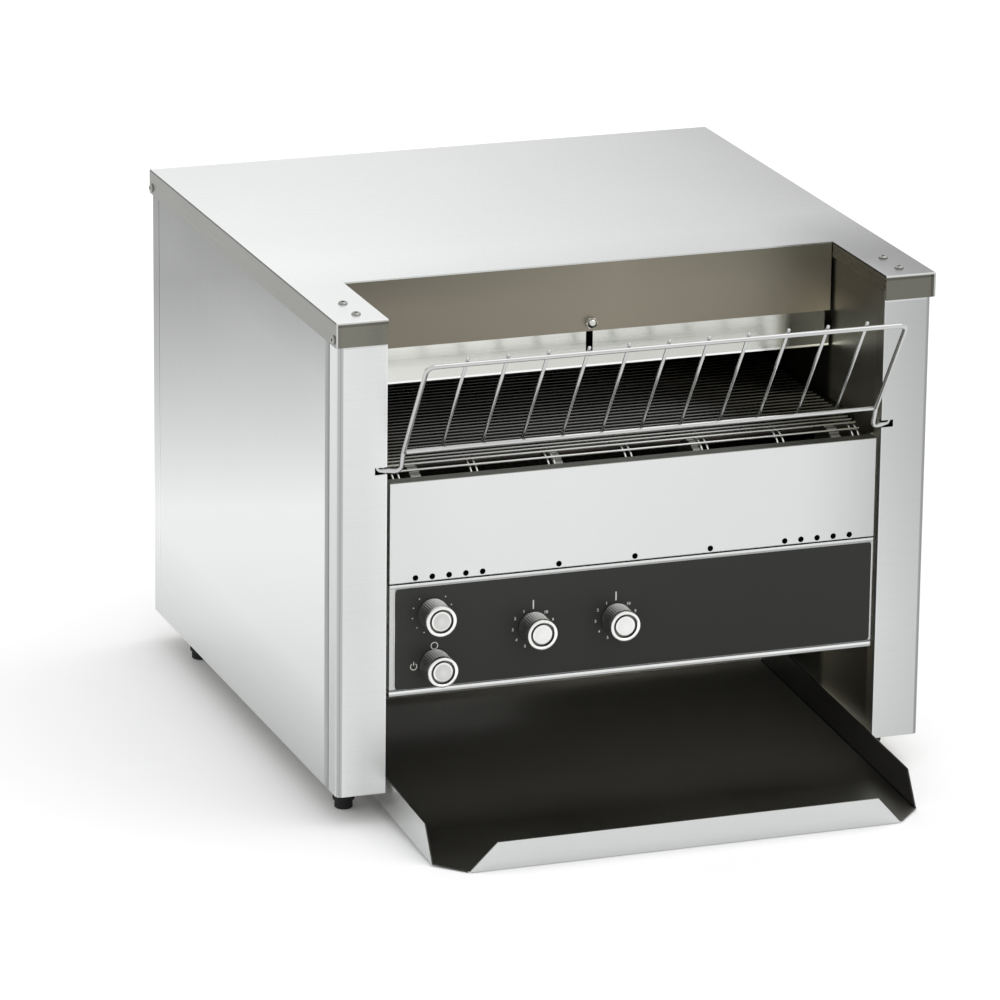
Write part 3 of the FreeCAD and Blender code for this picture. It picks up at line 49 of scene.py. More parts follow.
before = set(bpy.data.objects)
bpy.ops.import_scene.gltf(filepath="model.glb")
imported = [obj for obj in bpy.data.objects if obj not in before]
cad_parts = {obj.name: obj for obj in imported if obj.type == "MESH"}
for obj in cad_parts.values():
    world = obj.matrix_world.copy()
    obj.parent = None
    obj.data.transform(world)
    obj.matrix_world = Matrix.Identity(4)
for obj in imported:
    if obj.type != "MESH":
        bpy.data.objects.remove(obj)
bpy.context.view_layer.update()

MM = 0.001
DIALS = ("power", "speed", "top_heat", "bottom_heat")


# Colours

def shade(red, green, blue):
    """A scene colour from display values between 0 and 255."""
    def linear(value):
        share = value / 255
        return share / 12.92 if share <= 0.04045 else ((share + 0.055) / 1.055) ** 2.4
    return (linear(red), linear(green), linear(blue))


def colour(name, description, red, green, blue):
    return FloatVectorProperty(name=name, description=description, subtype="COLOR", size=3,
                               min=0, max=1, default=shade(red, green, blue))


def length(name, description, millimetres):
    return FloatProperty(name=name, description=description, subtype="DISTANCE",
                         unit="LENGTH", min=0, default=millimetres * MM, precision=4)


def number(name, description, value, low=0):
    return FloatProperty(name=name, description=description, min=low, default=value)


def whole(name, description, value, low=2):
    return IntProperty(name=name, description=description, min=low, default=value)


def degrees(name, description, value):
    return FloatProperty(name=name, description=description, subtype="ANGLE",
                         unit="ROTATION", default=math.radians(value))


def vector(name, description, *values, unit="LENGTH"):
    return FloatVectorProperty(name=name, description=description, subtype="XYZ", unit=unit,
                               size=len(values), default=values)


# What a user may change

class ToasterColours(bpy.types.PropertyGroup):
    bright: colour("Bright steel", "Top of the cover where it faces the light", 238, 240, 239)
    panel: colour("Panel steel", "Front panel, pillars and side panels", 219, 221, 220)
    # Painted shade: the cover's steel painted darker on its side flanges and on the front panel's
    # top face
    flange_shade: colour("Flange steel", "Folded flanges of the cover", 121, 122, 117)
    # Painted shade: the cover's steel painted darker on the ear fronts; it is also the painted
    # light line on the hem inside the throat
    ear_front: colour("Ear front", "Front flanges of the cover", 122, 121, 112)
    bend: colour("Bend line", "Bends and seams that catch no light", 78, 78, 74)
    throat: colour("Throat wall", "Back wall of the throat, tinted by heat", 143, 136, 123)
    throat_tint: colour("Throat tint", "Second heat tint of the throat's walls", 118, 117, 104)
    # Heat tint with painted shade: the tunnel's steel, painted far darker than the case for the
    # shade inside it
    warmed_and_shaded: colour("Warmed steel", "Walls and reflectors of the tunnel", 112, 110, 100)
    chute: colour("Chute steel", "Ramp and tray inside the case", 186, 184, 176)
    tray: colour("Tray steel", "Front and outside of the tray", 210, 212, 211)
    mirror: colour("Mirror steel", "The height gate", 208, 209, 203)
    wire: colour("Wire", "Frame wire of the feed rack", 194, 195, 194)
    cross: colour("Cross wire", "Cross wires of the feed rack", 164, 160, 152)
    belt: colour("Belt wire", "Wires of the belt at its front turn", 206, 207, 204)
    # Painted shade: the same belt wires, painted darker inside the tunnel than at the front turn
    belt_shaded: colour("Shaded belt wire", "Wires of the belt inside", 108, 108, 106)
    overlay: colour("Overlay", "Film on the control frame", 52, 53, 50)
    marks: colour("Marks", "Printed marks on the overlay", 214, 214, 210)
    # Painted light: a dark and a lit copy of the knob's metal, blended by which way a face points
    knob: colour("Knob", "Turned body of a knob", 74, 74, 71)
    knob_lit: colour("Lit knob", "Side of a knob that faces the light", 252, 252, 249)
    cap: colour("Knob cap", "Turned front of a knob", 244, 244, 242)
    # Painted shade: a dark colour laid in the knob's groove, where shade falls
    groove: colour("Cap groove", "Groove in the front of a knob", 96, 96, 93)
    screw: colour("Screw", "Screws and small fittings", 150, 150, 147)
    black: colour("Black", "Moulded black pieces", 26, 26, 26)
    rubber: colour("Rubber", "Feet", 30, 30, 31)
    motor: colour("Motor grey", "Painted gear motor", 92, 95, 98)
    bronze: colour("Bronze", "Bushes of the belt shafts", 172, 128, 78)
    ceramic: colour("Ceramic", "Insulators of the heaters", 222, 214, 196)
    sheath: colour("Heater sheath", "Heater tubes", 96, 90, 84)


class ToasterSizes(bpy.types.PropertyGroup):
    rack_wire: length("Rack wire", "Radius of the feed rack's frame wire", 1.8)
    cross_wire: length("Cross wire", "Radius of the feed rack's cross wires", 1.3)
    rack_bend: length("Rack bend", "Bend of the feed rack's corners", 6.0)
    rack_tail_bend: length("Rack tail bend", "Bend behind the pillars", 2.8)
    rack_side_in: length("Rack side in", "From a pin's outer end to its side wire", 16.5)
    rack_leg_out: length("Rack leg out", "From the pillars to the foot of the side wire", 4.0)
    rack_low_out: length("Low wire out", "From the pillars to the low wire", 9.5)
    rack_low_rise: length("Low wire rise", "From the pins to the low wire", 16.5)
    rack_top_out: length("Top wire out", "From the pillars to the top wire", 63.0)
    rack_top_rise: length("Top wire rise", "From the low wire to the top wire", 80.0)
    rack_end_in: length("First cross wire", "From the side wire to the first cross wire", 31.5)
    rack_tail: length("Rack tail", "Height of the turned-up tail", 12.0)
    cross_wires: whole("Cross wires", "Cross wires of the feed rack", 11)
    cross_stub: length("Cross wire stub", "Cross wire that stands above the top wire", 3.5)
    belt_wire: length("Belt wire", "Radius of a belt wire", 0.95)
    belt_pitch: length("Belt pitch", "Pitch of the belt's wires", 7.8)
    link_half: length("Link half", "Half the width of a belt link", 2.4)
    link_edge: length("Link edge", "From the belt's edge to its outer links", 4.0)
    links: whole("Links", "Links across the belt", 7)
    flutes: whole("Flutes", "Flutes round a knob", 40, low=8)
    flute_depth: length("Flute depth", "Depth of a knob's flutes", 0.25)
    rim_bead: length("Rim bead", "Radius of the bead round the overlay", 0.6)
    rim_corner: length("Rim corner", "Corner radius of the bead round the overlay", 3.1)
    mark_height: length("Numeral height", "Height of a dial's numerals", 3.2)
    mark_weight: length("Numeral weight", "How much bolder than the font its numerals are", 0.07)
    mark_lift: length("Mark lift", "Thickness of the printed marks", 0.06)


class ToasterStage(bpy.types.PropertyGroup):
    floor: FloatVectorProperty(name="Floor", description="Colour of the floor",
                               subtype="COLOR", size=3, min=0, max=1,
                               default=(0.96, 0.96, 0.96))
    floor_seen: number("Floor seen", "How much lighter the floor looks than it lights", 0.13)
    floor_reach: length("Floor reach", "Half the side of the floor", 20000.0)
    sky: number("Sky", "Strength of the light from all round", 0.9)
    sun: number("Sun", "Strength of the key light", 0.5)
    sun_angle: degrees("Sun angle", "Softness of the key light", 50)
    sun_way: vector("Sun way", "From the object to the key light", 0.45, -0.1, 1.0,
                    unit="NONE")
    azimuth: degrees("Azimuth", "Camera's turn round the object", -19.91)
    elevation: degrees("Elevation", "Camera's height above the horizon", 17.39)
    roll: degrees("Roll", "Camera's turn about its own view", 0.66)
    lens: number("Lens", "Focal length in millimetres on 36 mm", 225.97, low=1)
    distance: length("Distance", "From the camera to its target", 4919.5)
    target: vector("Target", "Point that the camera looks at", 0.0, 7.6 * MM, 217.0 * MM)
    aside: vector("Aside", "Camera's offset across its view", -38.8 * MM, -34.4 * MM)


# Shader values

def worked(operation):
    """A way to work on a shader's number and another one."""
    def work(self, other):
        node = self.finish.node("ShaderNodeMath", {"operation": operation},
                                {0: self, 1: other})
        return Signal(self.finish, node.outputs[0])
    return work


class Signal:
    """A shader's number, on which Python's own signs work."""

    def __init__(self, finish, socket):
        self.finish = finish
        self.socket = socket

    __add__ = __radd__ = worked("ADD")
    __mul__ = __rmul__ = worked("MULTIPLY")
    __sub__ = worked("SUBTRACT")
    __truediv__ = worked("DIVIDE")
    __pow__ = worked("POWER")
    above = worked("GREATER_THAN")
    below = worked("LESS_THAN")
    larger = worked("MAXIMUM")
    smaller = worked("MINIMUM")

    def __rsub__(self, other):
        return self * -1 + other

    def __abs__(self):
        return self.larger(self * -1)

    def clamped(self):
        return self.larger(0).smaller(1)

    def between(self, low, high):
        """0 at low, 1 at high and straight between them."""
        return ((self - low) / (high - low)).clamped()

    def within(self, low, high, soft):
        """1 from low to high, and soft edges outside them."""
        return self.between(low - soft, low) * (1 - self.between(high, high + soft))

    def band(self, edge, first, last, soft):
        """1 between two distances in millimetres from an edge, with soft ends."""
        return self.within(edge + first * MM, edge + last * MM, soft * MM)


class Finish:
    """One material, made from nodes."""

    def __init__(self, name):
        self.material = bpy.data.materials.new(name)
        self.material.use_nodes = True
        self.tree = self.material.node_tree
        self.tree.nodes.clear()
        self.output = self.node("ShaderNodeOutputMaterial")
        self.shader = self.node("ShaderNodeBsdfPrincipled")
        self.tree.links.new(self.shader.outputs[0], self.output.inputs[0])
        spots = self.node("ShaderNodeTexCoord")
        self.spot = spots.outputs["Object"]
        self.x, self.y, self.z = self.parts(spots.outputs["Object"])
        self.nx, self.ny, self.nz = self.parts(spots.outputs["Normal"])

    def node(self, kind, settings=None, sockets=None):
        node = self.tree.nodes.new(kind)
        for key, value in (settings or {}).items():
            setattr(node, key, value)
        for key, value in (sockets or {}).items():
            self.feed(node.inputs[key], value)
        return node

    def feed(self, socket, value):
        """Sets or links a socket.

        A word stands for one of the user's colours, and a function makes its value from the
        finish.
        """
        if callable(value):
            value = value(self)
        if isinstance(value, str):
            value = getattr(bpy.context.scene.toaster_colours, value)
        if isinstance(value, Signal):
            value = value.socket
        if isinstance(value, bpy.types.NodeSocket):
            self.tree.links.new(value, socket)
        elif socket.type == "RGBA" and len(value) == 3:
            socket.default_value = (*value, 1)
        else:
            socket.default_value = value

    def faces_aside(self):
        return abs(self.nx).above(0.5)

    def parts(self, socket):
        node = self.node("ShaderNodeSeparateXYZ", sockets={0: socket})
        return [Signal(self, output) for output in node.outputs]

    def noise(self, per_metre, detail=2.0, roughness=0.5):
        """Cloud noise from -0.5 to 0.5, with one count per metre or one for each axis."""
        counts = per_metre if isinstance(per_metre, tuple) else (per_metre,) * 3
        stretched = self.node("ShaderNodeVectorMath", {"operation": "MULTIPLY"},
                              {0: self.spot, 1: counts})
        node = self.node("ShaderNodeTexNoise", sockets={
            "Vector": stretched.outputs[0], "Scale": 1.0, "Detail": detail,
            "Roughness": roughness})
        return Signal(self, node.outputs[0]) - 0.5

    def mixed(self, share, first, second, way="MIX"):
        node = self.node("ShaderNodeMix", {"data_type": "RGBA", "blend_type": way},
                         {0: share, 6: first, 7: second})
        return node.outputs[2]

    def lit(self, tint, light):
        """A colour made lighter or darker by a number."""
        grey = self.node("ShaderNodeCombineXYZ", sockets={0: light, 1: light, 2: light})
        return self.mixed(1.0, tint, grey.outputs[0], "MULTIPLY")

    def faded(self, tint, share):
        """A colour at a share of the brightness that the eye sees."""
        return self.lit(tint, share ** 2.2)

    def bump(self, height, distance, strength):
        node = self.node("ShaderNodeBump", sockets={
            "Strength": strength, "Distance": distance, "Height": height})
        return node.outputs[0]

    def made(self, **sockets):
        for name, value in sockets.items():
            self.feed(self.shader.inputs[name.replace("_", " ")], value)
        return self.material


class Surround(Finish):
    """The world's nodes."""

    def __init__(self, world):
        world.use_nodes = True
        self.tree = world.node_tree
        self.tree.nodes.clear()
        self.output = self.node("ShaderNodeOutputWorld")


def seen_or_mirrored(finish):
    """1 for what the camera sees, straight or in metal or glass, and 0 for its light."""
    rays = finish.node("ShaderNodeLightPath").outputs
    straight, mirrored, through = (Signal(finish, rays[name]) for name in (
        "Is Camera Ray", "Is Glossy Ray", "Is Transmission Ray"))
    return (straight + mirrored + through).clamped()


# How often the grains and stains of a finish repeat, per metre
FINE = 900.0
LONG = 14.0
GRAINS = {"x": (LONG, FINE, FINE), "y": (FINE, LONG, FINE), "z": (FINE, FINE, LONG)}
TURNED = 1600.0
CLOUDS = 9.0
STAINS = 60.0
DUST = 25.0


def brushed(name, tint, grain, roughness, marks, clouds, depth=0.35, metal=1.0):
    """Brushed sheet. tint and metal are values, or functions of the finish."""
    finish = Finish(name)
    streaks = finish.noise(GRAINS[grain], 3.0, 0.65)
    if grain == "x":
        sides = finish.faces_aside()
        streaks = streaks * (1 - sides) + finish.noise(GRAINS["y"], 3.0) * sides
    speckle = finish.noise(FINE, 1.0)
    cloud = finish.noise(CLOUDS, 3.0)
    light = 1.0 + streaks * marks + speckle * (marks / 2) + cloud * clouds
    return finish.made(Base_Color=finish.lit(tint, light), Metallic=metal,
                       Roughness=roughness + streaks * 0.16 + cloud * 0.10,
                       Normal=finish.bump(streaks, 0.03 * MM, depth))


def turned_metal(name, tint, roughness, marks=0.14, metal=1.0):
    """Turned or drawn metal with a fine all-round grain."""
    finish = Finish(name)
    grain = finish.noise(TURNED)
    stain = finish.noise(STAINS, 3.0)
    return finish.made(Base_Color=finish.lit(tint, 1.0 + (grain + stain) * marks),
                       Metallic=metal, Roughness=roughness + stain * 0.2,
                       Normal=finish.bump(grain, 0.02 * MM, 0.3))


def moulded(name, tint, roughness, marks, specular=0.4, grain=1200.0):
    """Moulded plastic, rubber, film or paint."""
    finish = Finish(name)
    texture = finish.noise(grain)
    dust = finish.noise(DUST, 4.0)
    return finish.made(Base_Color=finish.lit(tint, 1.0 + (texture + dust) * marks),
                       Specular_IOR_Level=specular, Roughness=roughness + dust * 0.16,
                       Normal=finish.bump(texture, 0.04 * MM, 0.4))


def wear(material, *names):
    """Gives CAD nodes their finish."""
    for name in names:
        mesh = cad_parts[name].data
        if not mesh.materials:
            mesh.materials.append(material)
        for index in range(len(mesh.materials)):
            mesh.materials[index] = material


# Meshes

END_ROUND = 0.35
RIM_SIDES = 12


def placed(name, data):
    """A new object in the scene."""
    thing = bpy.data.objects.new(name, data)
    bpy.context.scene.collection.objects.link(thing)
    return thing


def piece(name, mesh, material, body, angle=35.0):
    """A new object of the toaster that rides on a body."""
    mesh.materials.clear()
    mesh.materials.append(material)
    mesh.shade_smooth()
    mesh.set_sharp_from_angle(angle=math.radians(angle))
    thing = placed(name, mesh)
    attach(thing, body)
    return thing


def mesh_from(name, build):
    """A mesh that build fills through a bmesh."""
    work = bmesh.new()
    build(work)
    bmesh.ops.recalc_face_normals(work, faces=work.faces)
    mesh = bpy.data.meshes.new(name)
    work.to_mesh(mesh)
    work.free()
    return mesh


def joined_rings(work, rings, looped=False):
    """Faces between rings of points, which meet in a loop or have a cap at each end."""
    rows = [[work.verts.new(point) for point in ring] for ring in rings]
    for low, high in zip(rows, rows[1:] + rows[:1] if looped else rows[1:]):
        for index in range(len(low)):
            after = (index + 1) % len(low)
            work.faces.new((low[index], low[after], high[after], high[index]))
    if not looped:
        work.faces.new(rows[0][::-1])
        work.faces.new(rows[-1])


def solid_from(name, forms, looped=False):
    """A mesh of forms, each given by its rings."""
    def build(work):
        for rings in forms:
            joined_rings(work, rings, looped)
    return mesh_from(name, build)


def rounded_path(points, bends, steps=8):
    """The points of a path whose corners are rounded by their bends."""
    path = [points[0]]
    for before, corner, after, bend in zip(points, points[1:], points[2:], bends):
        back = (before - corner).normalized()
        ahead = (after - corner).normalized()
        half = back.angle(ahead) / 2
        centre = corner + (back + ahead).normalized() * (bend / math.sin(half))
        first, second = ((corner + way * (bend / math.tan(half)) - centre).normalized()
                         for way in (back, ahead))
        path += [centre + first.slerp(second, step / steps) * bend
                 for step in range(steps + 1)]
    return path + [points[-1]]


def wire_rings(path, radius, sides):
    """Rings of a round wire along a path, slightly rounded at both ends."""
    rings = []
    normal = None
    ways = [(after - before).normalized() for before, after in zip(path, path[1:])]
    tangents = [ways[0]] + [(first + second).normalized()
                            for first, second in zip(ways, ways[1:])] + [ways[-1]]
    for point, tangent in zip(path, tangents):
        if normal is None:
            normal = tangent.orthogonal().normalized()
        normal = (normal - tangent * normal.dot(tangent)).normalized()
        across = tangent.cross(normal)
        rings.append([point + (normal * math.cos(turn) + across * math.sin(turn)) * radius
                      for turn in (2 * math.pi * side / sides for side in range(sides))])
    ends = []
    for ring, point, inward in ((rings[0], path[0], ways[0]), (rings[-1], path[-1], -ways[-1])):
        start = inward * (radius * END_ROUND)
        tip = [point + (spot - point) * (1 - END_ROUND) for spot in ring]
        ends.append((tip, [spot + start for spot in ring]))
    return [ends[0][0], ends[0][1]] + rings[1:-1] + [ends[1][1], ends[1][0]]


def lathe_rings(rows, base, sides=96, flute=None):
    """Rings round an axis to the front, from rows of (height, radius).

    A row with a third value has flutes, whose count and depth are in flute.
    """
    axis = Vector((0, -1, 0))
    up = axis.orthogonal().normalized()
    across = axis.cross(up)
    rings = []
    for height, radius, *fluted in rows:
        ring = []
        for side in range(sides):
            turn = 2 * math.pi * side / sides
            reach = radius
            if fluted:
                count, depth = flute
                reach = radius - depth * (0.5 - 0.5 * math.cos(count * turn)) ** 2
            ring.append(base + axis * height
                        + (up * math.cos(turn) + across * math.sin(turn)) * reach)
        rings.append(ring)
    return rings


def corners_of(node):
    low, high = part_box(node)
    return Vector(low), Vector(high)


def middle_of(node):
    low, high = corners_of(node)
    return (low + high) / 2


# Finishes of the CAD nodes

# Lines of light and shade: from and to in millimetres off an edge, and how soft their ends are
HEM, HEM_LIP = (-20.0, -18.5, 0.5), (-3.4, -2.4, 0.4)
LIT_CREST, UNDER_CREST = (-1.3, 0.0, 0.3), (-3.6, -2.1, 0.3)
BESIDE_END = (-3.9, -1.5, 0.2)
CREASE = (-18.0, -14.0, 0.3)
PILLAR_EDGE, PILLAR_CROWN = (0.0, 0.9, 0.4), (-1.6, 0.0, 0.3)
UNDER_OVERLAY, LOWER_LIP = (-1.6, 0.0, 0.2), (-3.4, -1.8, 0.3)

# Widths of edges, bends and rims whose tone is painted light and painted shade
CREST, EAR_END, THROAT_FOLD = 1.3 * MM, 1.4 * MM, 2.0 * MM
SEAM, EDGE, SLOT_EDGE = 9.0 * MM, 1.6 * MM, 4.0 * MM
LEFT_BEND, END_BEND = 4.2 * MM, 1.8 * MM
TRAY_BED, TRAY_RIM, TRAY_CORNER = 30.0 * MM, 2.0 * MM, 21.0 * MM

# Spans in metres, from where a change of tone starts to where it is full. Except for TRAY_DULL
# and TRAY_DULLER, which change how metallic the tray is, they carry painted light and painted
# shade
CORNER_X, CORNER_Y = (0.15, 0.205), (0.01, -0.12)
BY_THROAT_X, BY_THROAT_Y = (0.228, 0.2), (-0.13, -0.17)
AHEAD, BRINK, EARS = -0.06, (-0.02, -0.08), (-0.22, 0.24)
SIDE_CREST, SIDE_SLOPE, SIDE_SPAN = 0.190, 0.3, (0.01, 0.2)
SIDE_TOP, SIDE_FOOT, SIDE_AHEAD = (0.34, 0.38), (0.10, 0.02), (0.1, -0.15)
SEAM_FOOT, BEND_FOOT = (0.18, 0.06), (0.16, 0.06)
PILLAR_DROP, PILLAR_FOOT, PILLAR_LOW = (0.36, 0.12), (0.17, 0.03), (0.1, 0.03)
PILLAR_OUT, PILLAR_IN = (0.203, 0.232), (0.216, 0.204)
FLANGE_HIGH, FLANGE_LOW, FLANGE_LIT = (0.36, 0.29), (0.11, 0.06), (0.272, 0.270)
PANEL_MIDDLE, PANEL_RIGHT, PANEL_LEFT = (-0.05, 0.14), (0.13, 0.197), (-0.14, -0.195)
TRAY_INSIDE, TRAY_DULL, TRAY_DULLER = (-0.22, -0.05), (-0.22, -0.10), (-0.10, 0.02)
THROAT_MIDDLE, THROAT_HALF = 0.02, (0.0, 0.2)
THROAT_CROWN, THROAT_RIGHT = 0.37, (0.15, 0.20)
GATE_LEFT, GATE_RIGHT, GATE_SHADE = (-0.14, 0.02), (0.02, 0.14), (-0.037, -0.032)
WALL_THROAT, WALL_DEEP = (-0.07, -0.08), (-0.16, -0.09)
WALL_LOW, WALL_TUNNEL = (0.365, 0.325), (0.26, 0.20)
CHUTE_LEFT, REAR_HEIGHT = (-0.17, 0.05), (0.0, 0.4)
CAP_SLANT, CAP_DISC, CAP_MIDDLE = (-0.008, 0.008), (0.0068, 0.0062), (0.004, 0.0)


class ToasterCase(bpy.types.Operator):
    """Gives the cover, pillars, panels and tray their brushed steel, with painted light and shade
    in its colours
    """
    bl_idname = "toaster.case"
    bl_label = "Case finishes"

    def execute(self, context):
        wear(brushed("cover_steel", self.cover, "x", 0.26, 0.05, 0.03), "top_cover")
        wear(brushed("side_steel", self.side, "z", 0.34, 0.05, 0.03),
             "left_side_panel", "right_side_panel")
        wear(brushed("pillar_steel", self.pillar, "x", 0.36, 0.10, 0.05),
             "left_front_pillar", "right_front_pillar")
        wear(brushed("panel_steel", self.panel, "x", 0.34, 0.04, 0.03), "front_panel")
        wear(brushed("frame_steel", self.frame, "x", 0.30, 0.04, 0.03), "control_frame")
        wear(brushed("rear_steel", self.rear, "x", 0.34, 0.08, 0.05), "rear_panel")
        wear(brushed("tray_steel", self.tray, "x", 0.34, 0.05, 0.05, metal=self.tray_metal),
             "toast_tray")
        return {"FINISHED"}

    def cover(self, finish):
        """Painted light and shade: the top is painted darker to the right and at its right front
        corner, its side flanges are painted darker than the top, and the crests, hems and ear
        ends carry painted highlights and painted shade lines.
        """
        low, high = corners_of("top_cover")
        throat = corners_of("right_front_pillar")[0].x
        reach = abs(finish.x)
        across = finish.x.between(low.x, high.x)
        ahead = finish.y.between(high.y, AHEAD)
        brink = finish.y.between(*BRINK)
        # Painted shade: the right front corner of the top, less of it beside the throat
        corner = finish.x.between(*CORNER_X) * finish.y.between(*CORNER_Y)
        by_throat = finish.x.above(0) * finish.x.between(*BY_THROAT_X)
        corner = corner - by_throat * finish.y.between(*BY_THROAT_Y) * 0.45
        haze = finish.noise(4.0)
        share = (0.99 - across * 0.10 - across ** 3 * 0.14 - corner * 0.19 - brink * 0.03
                 + (ahead - 0.5) * (1 - across) ** 3 * 0.06 + haze * 0.04)
        top = finish.faded("bright", share)

        # Painted shade along the crests of the side flanges, and painted light and shade lines on
        # the hem inside the throat
        crest = finish.z.above(high.z - CREST)
        outer = finish.mixed(crest, "flange_shade", "bend")
        hem = (finish.z.band(high.z, *HEM) * 0.6).larger(finish.z.band(high.z, *HEM_LIP))
        inner = finish.mixed(crest, finish.mixed(hem, "warmed_and_shaded", "ear_front"),
                             finish.faded("bend", 0.5))
        side = finish.mixed(reach.below(throat + THROAT_FOLD), outer, inner)
        folded = finish.mixed(finish.faces_aside(), top, side)

        # Painted highlights on the ear's crest and end, painted shade under the crest and beside
        # the end, darker to the right
        slope = finish.x.between(*EARS)
        end = reach.above(high.x - EAR_END) * (0.62 - slope * 0.16)
        lit_edge = (finish.z.band(high.z, *LIT_CREST) * 0.7).larger(end)
        under = finish.z.band(high.z, *UNDER_CREST)
        beside = reach.band(high.x, *BESIDE_END)
        ear_share = 0.96 - slope * 0.10 - under * 0.15 - beside * (0.04 + slope * 0.11)
        ear = finish.mixed(lit_edge, finish.faded("ear_front", ear_share), "panel")
        return finish.mixed(finish.ny.below(-0.5), folded, ear)

    def side(self, finish):
        """Painted light and shade: grey at the top, bright low down but darker at the foot, a
        painted highlight along the rear crease, and the seam along the front painted darker as
        painted shade.
        """
        low, high = corners_of("left_side_panel")
        crest = (finish.z - (SIDE_CREST - finish.y * SIDE_SLOPE)).between(*SIDE_SPAN)
        foot = finish.z.between(*SIDE_FOOT) * (0.09 + finish.y.between(*SIDE_AHEAD) * 0.06)
        share = 1.03 - crest * 0.4 - foot - finish.z.between(*SIDE_TOP) * 0.04
        outside = finish.faces_aside()
        crease = finish.y.band(high.y, *CREASE)
        share = share + crease * (0.05 + abs(finish.ny).above(0.5) * 0.12)
        seam_end = low.y + SEAM
        seam = finish.y.within(low.y, seam_end, 1.0 * MM) * outside
        seam_share = (0.68 - finish.y.between(seam_end, low.y) * 0.12
                      + finish.z.between(*SEAM_FOOT) * 0.15)
        return finish.faded("panel", share * (1 - seam) + seam_share * seam)

    def pillar(self, finish):
        """Painted light and shade: a bright face, the right pillar painted darker than the left,
        a painted highlight on the inner edge, painted shade on the bend, and inner flanges as
        dark as the throat's walls, painted darkest near the top and with a painted highlight
        along their front edge.
        """
        edge, front, _ = corners_of("right_front_pillar")[0]
        crown = corners_of("top_cover")[0].z
        right = finish.x.above(0)
        out = finish.nx * (right * 2 - 1)
        reach = abs(finish.x)
        drop = finish.z.between(*PILLAR_DROP)
        left_share = 0.985 - drop * 0.03 + finish.z.between(*PILLAR_FOOT) * 0.08
        right_share = 0.825 + drop * 0.10 - reach.between(*PILLAR_OUT) * 0.05
        share = left_share * (1 - right) + right_share * right
        share = share + reach.band(edge, *PILLAR_EDGE) * 0.04
        inner_edge = reach.between(*PILLAR_IN) * (1 - right)
        share = share + inner_edge * (0.02 + finish.z.between(*PILLAR_LOW) * 0.03)
        share = share + finish.z.band(crown, *PILLAR_CROWN) * (right * 0.16 - 0.06)
        bend = out.within(0.25, 0.85, 0.12)
        bend_share = 0.79 - right * 0.1 - out.within(0.5, 0.6, 0.05) * 0.08
        share = share * (1 - bend) + bend * bend_share
        strip = out.above(0.97)
        share = share * (1 - strip * (0.03 + finish.z.between(*BEND_FOOT) * 0.08))

        # Painted light and shade on the inner flanges: darkest near the top, lighter lower down,
        # a little darker again at the foot
        painted_flange_tone = (finish.z.between(*FLANGE_HIGH) * 0.9
                  - finish.z.between(*FLANGE_LOW) * 0.3)
        lit_edge = finish.y.below(front + SLOT_EDGE) * finish.z.between(*FLANGE_LIT)
        lit_edge = lit_edge.larger(finish.y.below(front + EDGE))
        inside = finish.mixed(lit_edge, finish.faded("warmed_and_shaded", 1.0 + painted_flange_tone),
                              finish.faded("panel", 0.8))
        return finish.mixed(out.below(-0.5), finish.faded("panel", share), inside)

    def panel(self, finish):
        """Painted shade: a little darker at the ends, with darker bends there, and the top face
        in the cover flanges' painted shade colour.
        """
        low, high = corners_of("front_panel")
        left_bend = finish.x.below(low.x + LEFT_BEND)
        share = (0.995 - finish.x.between(*PANEL_MIDDLE) * 0.03
                 - finish.x.between(*PANEL_RIGHT) ** 1.5 * 0.12
                 - finish.x.between(*PANEL_LEFT) * 0.02
                 - left_bend * (0.16 + finish.x.below(low.x + END_BEND) * 0.09)
                 - finish.x.above(high.x - END_BEND) * 0.18)
        return finish.mixed(finish.nz.above(0.5), finish.faded("panel", share),
                            "flange_shade")

    def frame(self, finish):
        """Painted light and shade: a painted highlight along the crest and the lower lip, a
        painted shade line just under the overlay, greyer round the rest of the overlay, darker to
        the right, and the underside in the bend colour.
        """
        low, high = corners_of("control_overlay")
        crown = corners_of("control_frame")[1].z
        beside = finish.z.within(low.z, high.z, 0.5 * MM)
        share = 0.82 + finish.z.above(crown - EDGE) * 0.17
        share = (share * (1 - beside) + beside * 0.89
                 - finish.z.band(low.z, *UNDER_OVERLAY) * 0.30
                 + finish.z.band(low.z, *LOWER_LIP) * 0.26
                 - finish.x.between(*PANEL_RIGHT) * 0.05)
        return finish.mixed(finish.nz.below(-0.5), finish.faded("panel", share),
                            "bend")

    def rear(self, finish):
        # Painted light: the rear panel is painted lighter higher up
        return finish.faded("panel", 0.88 + finish.z.between(*REAR_HEIGHT) * 0.06)

    def tray(self, finish):
        """Painted shade: bright outside and at the lip, and dark inside and on the right wall;
        the inside takes the chute colour, painted darker on the bed and darker still on the right
        wall's rim and the front corners.
        """
        high = corners_of("toast_tray")[1]
        bed = finish.nz.above(0.9) * finish.z.below(TRAY_BED)
        inside = finish.y.between(*TRAY_INSIDE).larger(bed)
        rim = finish.x.above(high.x - TRAY_RIM) * finish.nx.below(0.5)
        rim = rim.larger(abs(finish.x).above(high.x - TRAY_CORNER) * finish.ny.below(-0.3))
        return finish.mixed(inside.larger(rim), "tray",
                            finish.faded("chute", 1 - rim * 0.6 - bed * 0.28))

    def tray_metal(self, finish):
        """Duller where toast lands, so that it isn't black in the shade of the case."""
        high = corners_of("toast_tray")[1]
        wall = finish.x.above(high.x - TRAY_RIM) * finish.nx.below(-0.5)
        return (1.0 - finish.y.between(*TRAY_DULL).larger(wall) * 0.4
                - finish.y.between(*TRAY_DULLER) * 0.25)


